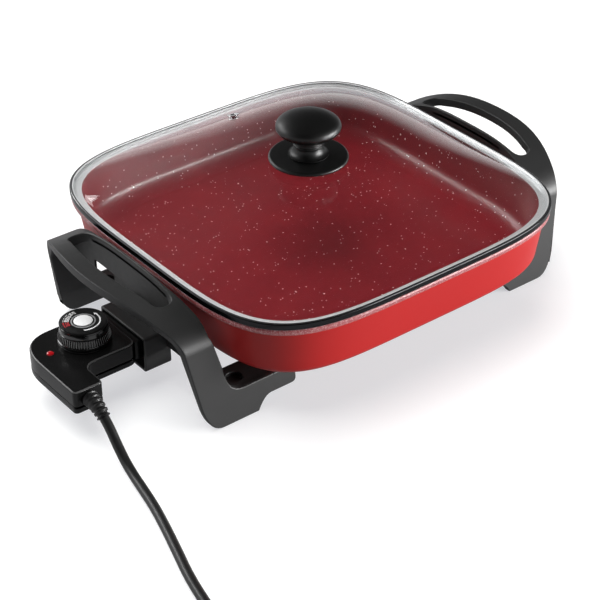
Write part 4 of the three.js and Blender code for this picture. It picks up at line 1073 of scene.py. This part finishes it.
dialShape = {
    "foot": 0.0449, "radius": 0.0168, "rim": 0.0171, "base": 0.0189, "height": 0.0132, "hub": 0.004, "ribs": 64,
    "ribDepth": 0.0009, "ribHeights": (0.0028, 0.0074), "ribTopOut": 0.0008, "ribEdge": 0.3,
    "ribSteps": ((0.0, 1), (0.2, 0), (0.5, 0), (0.7, 1)),
    "plate": 0.0162, "plateThick": 0.0005, "plateRound": 0.00012, "clear": 0.0001, "cap": 0.0068,
    "capHeight": 0.0012, "capClear": 0.0003, "capRound": 0.0004, "ring": (0.0078, 0.0088), "ringProud": 0.00012,
    "ringRound": 0.00008, "numbers": ["60", "90", "120", "150", "180", "210", "230"], "redFrom": 5,
    "numberSize": 0.0033, "numberRadius": 0.0124, "numberAngles": (91, 171), "arc": (0.0112, 0.0122),
    "arcAngles": (-120, 8), "arcSteps": 32, "arrowWide": 0.0010, "arrowTurn": 0.22, "printProud": 0.00003,
    "printSink": 0.00002,
    # Up the knob's side: circle, how far outside it, share of the ribs' depth, end of the knob, how far above it.
    "levels": [
        ("hub", 0, 0, "foot", 0), ("base", -0.0004, 0, "foot", 0), ("base", 0, 0, "foot", 0.0004),
        ("base", 0, 0, "foot", 0.0012), ("base", -0.0006, 0, "foot", 0.0016), ("base", -0.0007, 0, "foot", 0.0021),
        ("base", 0, 0.5, "foot", 0.0024), ("base", 0, 1, "foot", 0.0028), ("radius", 0.0008, 1, "foot", 0.0074),
        ("radius", 0.0006, 0, "foot", 0.0078), ("radius", 0.0002, 0, "foot", 0.0081),
        ("radius", 0, 0, "foot", 0.0085), ("radius", 0, 0, "top", -0.0016), ("rim", -0.0001, 0, "top", -0.0013),
        ("rim", 0, 0, "top", -0.0010), ("rim", 0, 0, "top", -0.0002), ("rim", -0.0002, 0, "top", 0),
        ("plate", 0.0002, 0, "top", 0), ("plate", 0, 0, "top", -0.0001), ("hub", 0, 0, "top", -0.0001)],
}


# A ring with square ribs: four points to a rib.
def ribRing(radius, depth, height):
    ring = []
    for rib in range(dialShape["ribs"]):
        for share, inwards in dialShape["ribSteps"]:
            angle = 2 * math.pi * (rib + share) / dialShape["ribs"]
            reach = radius - depth * inwards
            ring.append(Vector((controlShape["dialPlace"] + reach * math.cos(angle), reach * math.sin(angle), height)))
    return ring


def makeDialKnob(foot, top):
    shape = dialShape
    depth = shape["ribDepth"]
    ends = {"foot": foot, "top": top}
    rings = [ribRing(shape[circle] + out, depth * share, ends[end] + rise)
             for circle, out, share, end, rise in shape["levels"]]
    knob = moved(ringBody(rings, smoothAngle=angles["ribs"]), leftSide)
    settle(knob, "dialKnob", "dial", "dial_plastic", ["dial_knob"], [looks["dial_plastic"], paintedRibHighlightLook])
    # Faces on the crests of the ribs get the lighter grey: a painted highlight.
    low, high = (foot + height for height in shape["ribHeights"])
    for face in knob.data.polygons:
        reach = (face.center.xy - Vector((centreX - controlShape["dialPlace"], 0))).length
        level = between(shape["base"], shape["radius"] + shape["ribTopOut"], (face.center.z - low) / (high - low))
        face.material_index = int(low < face.center.z < high and reach > level - depth * shape["ribEdge"])


def turnedDialPart(profile, steps, endless=False):
    return moved(turnedBody(profile, controlShape["dialPlace"], steps, endless), leftSide)


def makeDial():
    shape = dialShape
    top = shape["foot"] + shape["height"]
    makeDialKnob(shape["foot"], top)
    foot, plateTop = top + shape["clear"], top + shape["plateThick"]
    inner, outer = shape["cap"] + shape["capClear"], shape["plate"]
    plate = soften(boxLine(inner, outer, foot, plateTop), shape["plateRound"], 2, True)
    settle(turnedDialPart(plate, 128, True), "dialPlate", "dial", "dial_print", ["dial_plate"])
    radius, capTop = shape["cap"], top + shape["capHeight"]
    cap = soften([(0.0002, foot), (radius, foot), (radius, top + shape["capHeight"] * 0.8), (radius * 0.86, capTop),
                  (0.0002, capTop)], shape["capRound"])
    settle(turnedDialPart(cap, 96), "dialCap", "dial", "cap_silver", ["dial_cap"])
    low, high = shape["ring"]
    foot, ringTop = plateTop - shape["clear"], plateTop + shape["ringProud"]
    ring = soften(boxLine(low, high, foot, ringTop), shape["ringRound"], 2, True)
    settle(turnedDialPart(ring, 96, True), "dialRing", "dial", "cap_silver", finishes=[silverPrint])
    printDial(plateTop)


# Numbers read inwards on one side of the plate, an arrow arc runs round the other.
def printDial(height):
    shape = dialShape
    middle = Vector((centreX - controlShape["dialPlace"], 0, height))
    for index, number in enumerate(shape["numbers"]):
        angle = math.radians(between(*shape["numberAngles"], index / (len(shape["numbers"]) - 1)))
        deselectAll()
        bpy.ops.object.text_add()
        text = bpy.context.object.data
        text.body = number
        text.size = shape["numberSize"]
        text.extrude = shape["printProud"]
        text.align_x = "CENTER"
        text.align_y = "CENTER"
        bpy.ops.object.convert(target="MESH")
        label = bpy.context.object
        reach = Vector((math.cos(angle), math.sin(angle), 0)) * shape["numberRadius"]
        moved(label, Matrix.Translation(middle + reach) @ Matrix.Rotation(angle + math.pi, 4, "Z"))
        settle(label, "dialNumber" + number, "dial", "dial_print",
               finishes=[redPrint if index >= shape["redFrom"] else whitePrint])
    low, high = shape["arc"]
    start, end = (math.radians(angle) for angle in shape["arcAngles"])
    turns = [between(start, end, step / shape["arcSteps"]) for step in range(shape["arcSteps"] + 1)]
    spots = [(high, turn) for turn in turns]
    spots += [(high + shape["arrowWide"], end), ((low + high) / 2, end + shape["arrowTurn"]),
              (low - shape["arrowWide"], end)]
    spots += [(low, turn) for turn in reversed(turns)]
    outline = [(middle.x + reach * math.cos(turn), middle.y + reach * math.sin(turn), height - shape["printSink"])
               for reach, turn in spots]
    arrow = slab(outline, (0, 0, shape["printProud"] * 2))
    settle(arrow, "dialArrow", "dial", "dial_print", finishes=[whitePrint])


makeDial()
print("dial made")


# Strain relief, cord and coil; the tie and the plug stay as packed

reliefShape = {"place": 0.228, "start": 0.0503, "sink": 0.0003, "forward": 0.016, "drop": 0.0065, "height": 0.034,
               "root": 0.0062, "tip": 0.0048, "ribs": 5, "groove": 0.0011, "ribSlope": 2.4, "ribShare": 0.7,
               "sides": 48, "steps": 80}
cordShape = {"radius": 0.0035, "clear": 0.0001, "gap": 0.0003, "coilCentre": (-0.293, -0.279), "coilRadius": 0.045,
             "pitch": 0.0076, "turns": 3.5, "perTurn": 24, "tail": 0.03, "tieTurn": 0.25, "tieHump": 0.1,
             "tieThick": 0.0006, "knotSteps": 6, "roundSteps": 5,
             "descent": [(-0.20675, -0.0662326, 0.0273109), (-0.20675, -0.0716656, 0.0228967),
                         (-0.2076, -0.083, 0.0135), (-0.2088, -0.094, 0.007), (-0.2106, -0.106, 0.0042)],
             "lying": [(-0.2132, -0.120), (-0.2175, -0.140), (-0.2235, -0.162), (-0.2305, -0.185),
                       (-0.2375, -0.208), (-0.243, -0.232), (-0.2466, -0.252), (-0.248, -0.2647)]}
plugShape = {"halfHeight": 0.008}


def reliefLine(share):
    shape = reliefShape
    place, height, front = shape["place"], shape["height"], shape["start"] - shape["sink"]
    return curved(Vector((place, shape["start"], height)), Vector((place, front + shape["forward"] / 2, height)),
                  Vector((place, front + shape["forward"], height - shape["drop"])), share)


def tubeRing(line, share, radius, sides):
    step = 0.01
    ahead = (line(min(share + step, 1)) - line(max(share - step, 0))).normalized()
    side = ahead.cross(Vector((0, 0, 1))).normalized()
    up = side.cross(ahead)
    spot = line(share)
    return [spot + (up * math.cos(angle) + side * math.sin(angle)) * radius
            for angle in (2 * math.pi * count / sides for count in range(sides))]


def makeRelief():
    shape = reliefShape
    rings = []
    for step in range(shape["steps"] + 1):
        share = step / shape["steps"]
        taper = between(shape["root"], shape["tip"], share)
        wave = 0.5 - 0.5 * math.cos(2 * math.pi * shape["ribs"] * share)
        depth = shape["groove"] * min(1.0, max(0.0, shape["ribSlope"] * wave - shape["ribShare"]))
        rings.append(tubeRing(reliefLine, share, taper - depth, shape["sides"]))
    relief = moved(ringBody(rings, smoothAngle=angles["soft"]), leftSide)
    settle(relief, "strainRelief", "control", "cord_rubber", ["strain_relief"])


def coilPoint(turns):
    shape = cordShape
    angle = -turns * 2 * math.pi
    radius = shape["coilRadius"] - shape["pitch"] * min(turns, shape["turns"] - turns)
    climb = min(max((turns - shape["turns"] / 2) * 2 + 0.5, 0), 1)
    climb = climb * climb * (3 - 2 * climb)
    offTie = ((turns % 1) - shape["tieTurn"]) / shape["tieHump"]
    hump = (shape["tieThick"] + shape["gap"]) * math.exp(-offTie ** 2)
    x, y = shape["coilCentre"]
    return Vector((x + radius * math.cos(angle), y + radius * math.sin(angle),
                   shape["radius"] + shape["clear"] + shape["pitch"] * climb + hump))


# Out of the strain relief, down to the table and along it, round the coil, then on to the plug.
def cordPoints():
    shape = cordShape
    points = [Vector(point) for point in shape["descent"]]
    points += [Vector((x, y, shape["radius"] + shape["clear"])) for x, y in shape["lying"]]
    steps = round(shape["turns"] * shape["perTurn"])
    points += [coilPoint(step / shape["perTurn"]) for step in range(steps + 1)]
    last = points[-1]
    tail = shape["tail"]
    rest = plugShape["halfHeight"] + shape["clear"]
    return points + [Vector((last.x, last.y + tail / 3, last.z - (last.z - rest) / 3)),
                     Vector((last.x, last.y + tail * 2 / 3, rest)), Vector((last.x, last.y + tail, rest))]


def makeCord():
    points = cordPoints()
    curve = bpy.data.curves.new("mainsCord", "CURVE")
    curve.dimensions = "3D"
    spline = curve.splines.new("BEZIER")
    spline.bezier_points.add(len(points) - 1)
    for knot, point in zip(spline.bezier_points, points):
        knot.co = point
        knot.handle_left_type = "AUTO"
        knot.handle_right_type = "AUTO"
    curve.resolution_u = cordShape["knotSteps"]
    curve.bevel_depth = cordShape["radius"]
    curve.bevel_resolution = cordShape["roundSteps"]
    curve.use_fill_caps = True
    cord = bpy.data.objects.new("mainsCord", curve)
    bpy.context.scene.collection.objects.link(cord)
    settle(cord, "mainsCord", "control", "cord_rubber", ["power_cord", "cord_coil"])


makeRelief()
makeCord()


# What stays as packed gets its finish

slotOf = {part["node"]: part["material_slot"] for part in frame["record"]["subparts"]}
for node, thing in frame["nodes"].items():
    thing.data.materials.clear()
    thing.data.materials.append(looks[slotOf[node]])


# Floor, world and lamps

studio = {
    "floorSize": 12.0, "floorTone": (0.52, 0.52, 0.50, 1), "floorBounce": grey(0.26), "floorRoughness": 0.95,
    "floorLight": (0.95, 0.955, 1.0, 1), "floorGlow": (0.55, 1.05), "glowReach": (0.9, 1.7), "glossShare": 0.35,
    "sky": [(0.50, grey(1.0)), (0.55, (0.85, 0.85, 0.86, 1)), (0.60, (0.30, 0.30, 0.305, 1)),
            (0.78, (0.22, 0.22, 0.225, 1)), (0.88, grey(0.06))],
    "far": (-0.5, 0.866, 0.0), "farRange": (0.3, 0.85), "farLevels": (0.075, 1.425),
    "horizonRange": (0.0, 0.19), "horizonLevels": (1.0, 0.0), "behind": grey(1.0),
}
lampShapes = {
    "keySoftbox": {"place": (-0.25, 0.3, 1.6), "target": (0, 0, 0.05), "size": (1.8, 1.4), "power": 40,
                   "mirrored": False},
    "backSoftbox": {"place": (-0.70, 1.62, 0.94), "target": (0, 0, 0.05), "size": (1.6, 0.6), "power": 16,
                    "mirrored": True},
    "rightSoftbox": {"place": (1.32, -1.42, 0.3), "target": (0.1, 0, 0.08), "size": (1.4, 0.5), "power": 71,
                     "mirrored": True},
}


# The camera, gloss and glass see the floor glow, brighter far out, and its shadows stay.
def makeFloor():
    deselectAll()
    bpy.ops.mesh.primitive_plane_add(size=studio["floorSize"], location=(0, 0, 0))
    floor = bpy.context.object
    floor.name = "paleFloor"
    finish = Finish("paleFloor", {
        "Roughness": studio["floorRoughness"], "Specular IOR Level": 0.0, "Emission Color": studio["floorLight"]})
    shown, mirrored, through = (finish.ray(kind) for kind in ("Camera", "Glossy", "Transmission"))
    finish.tint(shown, studio["floorBounce"], studio["floorTone"])
    seen = finish.most(finish.most(shown, mirrored * studio["glossShare"]), through)
    reach = finish.add("ShaderNodeVectorMath", {"operation": "LENGTH"}, {0: finish.place}, "Value")
    finish.set("Emission Strength", seen * finish.range(reach, *studio["glowReach"], *studio["floorGlow"]))
    floor.data.materials.append(finish.material)


# Bright round the far horizon, dim overhead and near; plain white behind the object.
def makeWorld():
    world = bpy.data.worlds.new("studioWorld")
    bpy.context.scene.world = world
    sky = Nodes(world, "ShaderNodeOutputWorld")
    where = sky.add("ShaderNodeTexCoord", {}, {}, "Generated")
    height = sky.add("ShaderNodeSeparateXYZ", {}, {0: where}, "Z")
    tone = sky.add("ShaderNodeValToRGB", {"stops": studio["sky"]}, {"Fac": sky.range(height, -1, 1, 0, 1)})
    farness = sky.add("ShaderNodeVectorMath", {"operation": "DOT_PRODUCT"}, {0: where, 1: studio["far"]}, "Value")
    strength = sky.most(sky.range(farness, *studio["farRange"], *studio["farLevels"]),
                        sky.range(height, *studio["horizonRange"], *studio["horizonLevels"]))
    around = sky.add("ShaderNodeBackground", {}, {"Color": tone, "Strength": strength})
    behind = sky.add("ShaderNodeBackground", {}, {"Color": studio["behind"]})
    sky.plug(sky.surface, sky.eitherShader(sky.ray("Camera"), around, behind))


def makeLamp(name, shape):
    light = bpy.data.lights.new(name, "AREA")
    light.shape = "RECTANGLE"
    light.size, light.size_y = shape["size"]
    light.energy = shape["power"]
    lamp = bpy.data.objects.new(name, light)
    bpy.context.scene.collection.objects.link(lamp)
    lamp.location = shape["place"]
    lamp.rotation_euler = (Vector(shape["target"]) - lamp.location).to_track_quat("-Z", "Y").to_euler()
    lamp.visible_camera = False
    lamp.visible_glossy = shape["mirrored"]
    lamp.visible_transmission = shape["mirrored"]


makeFloor()
makeWorld()
for name, shape in lampShapes.items():
    makeLamp(name, shape)
bpy.context.scene.view_settings.view_transform = "Standard"
print("studio made")
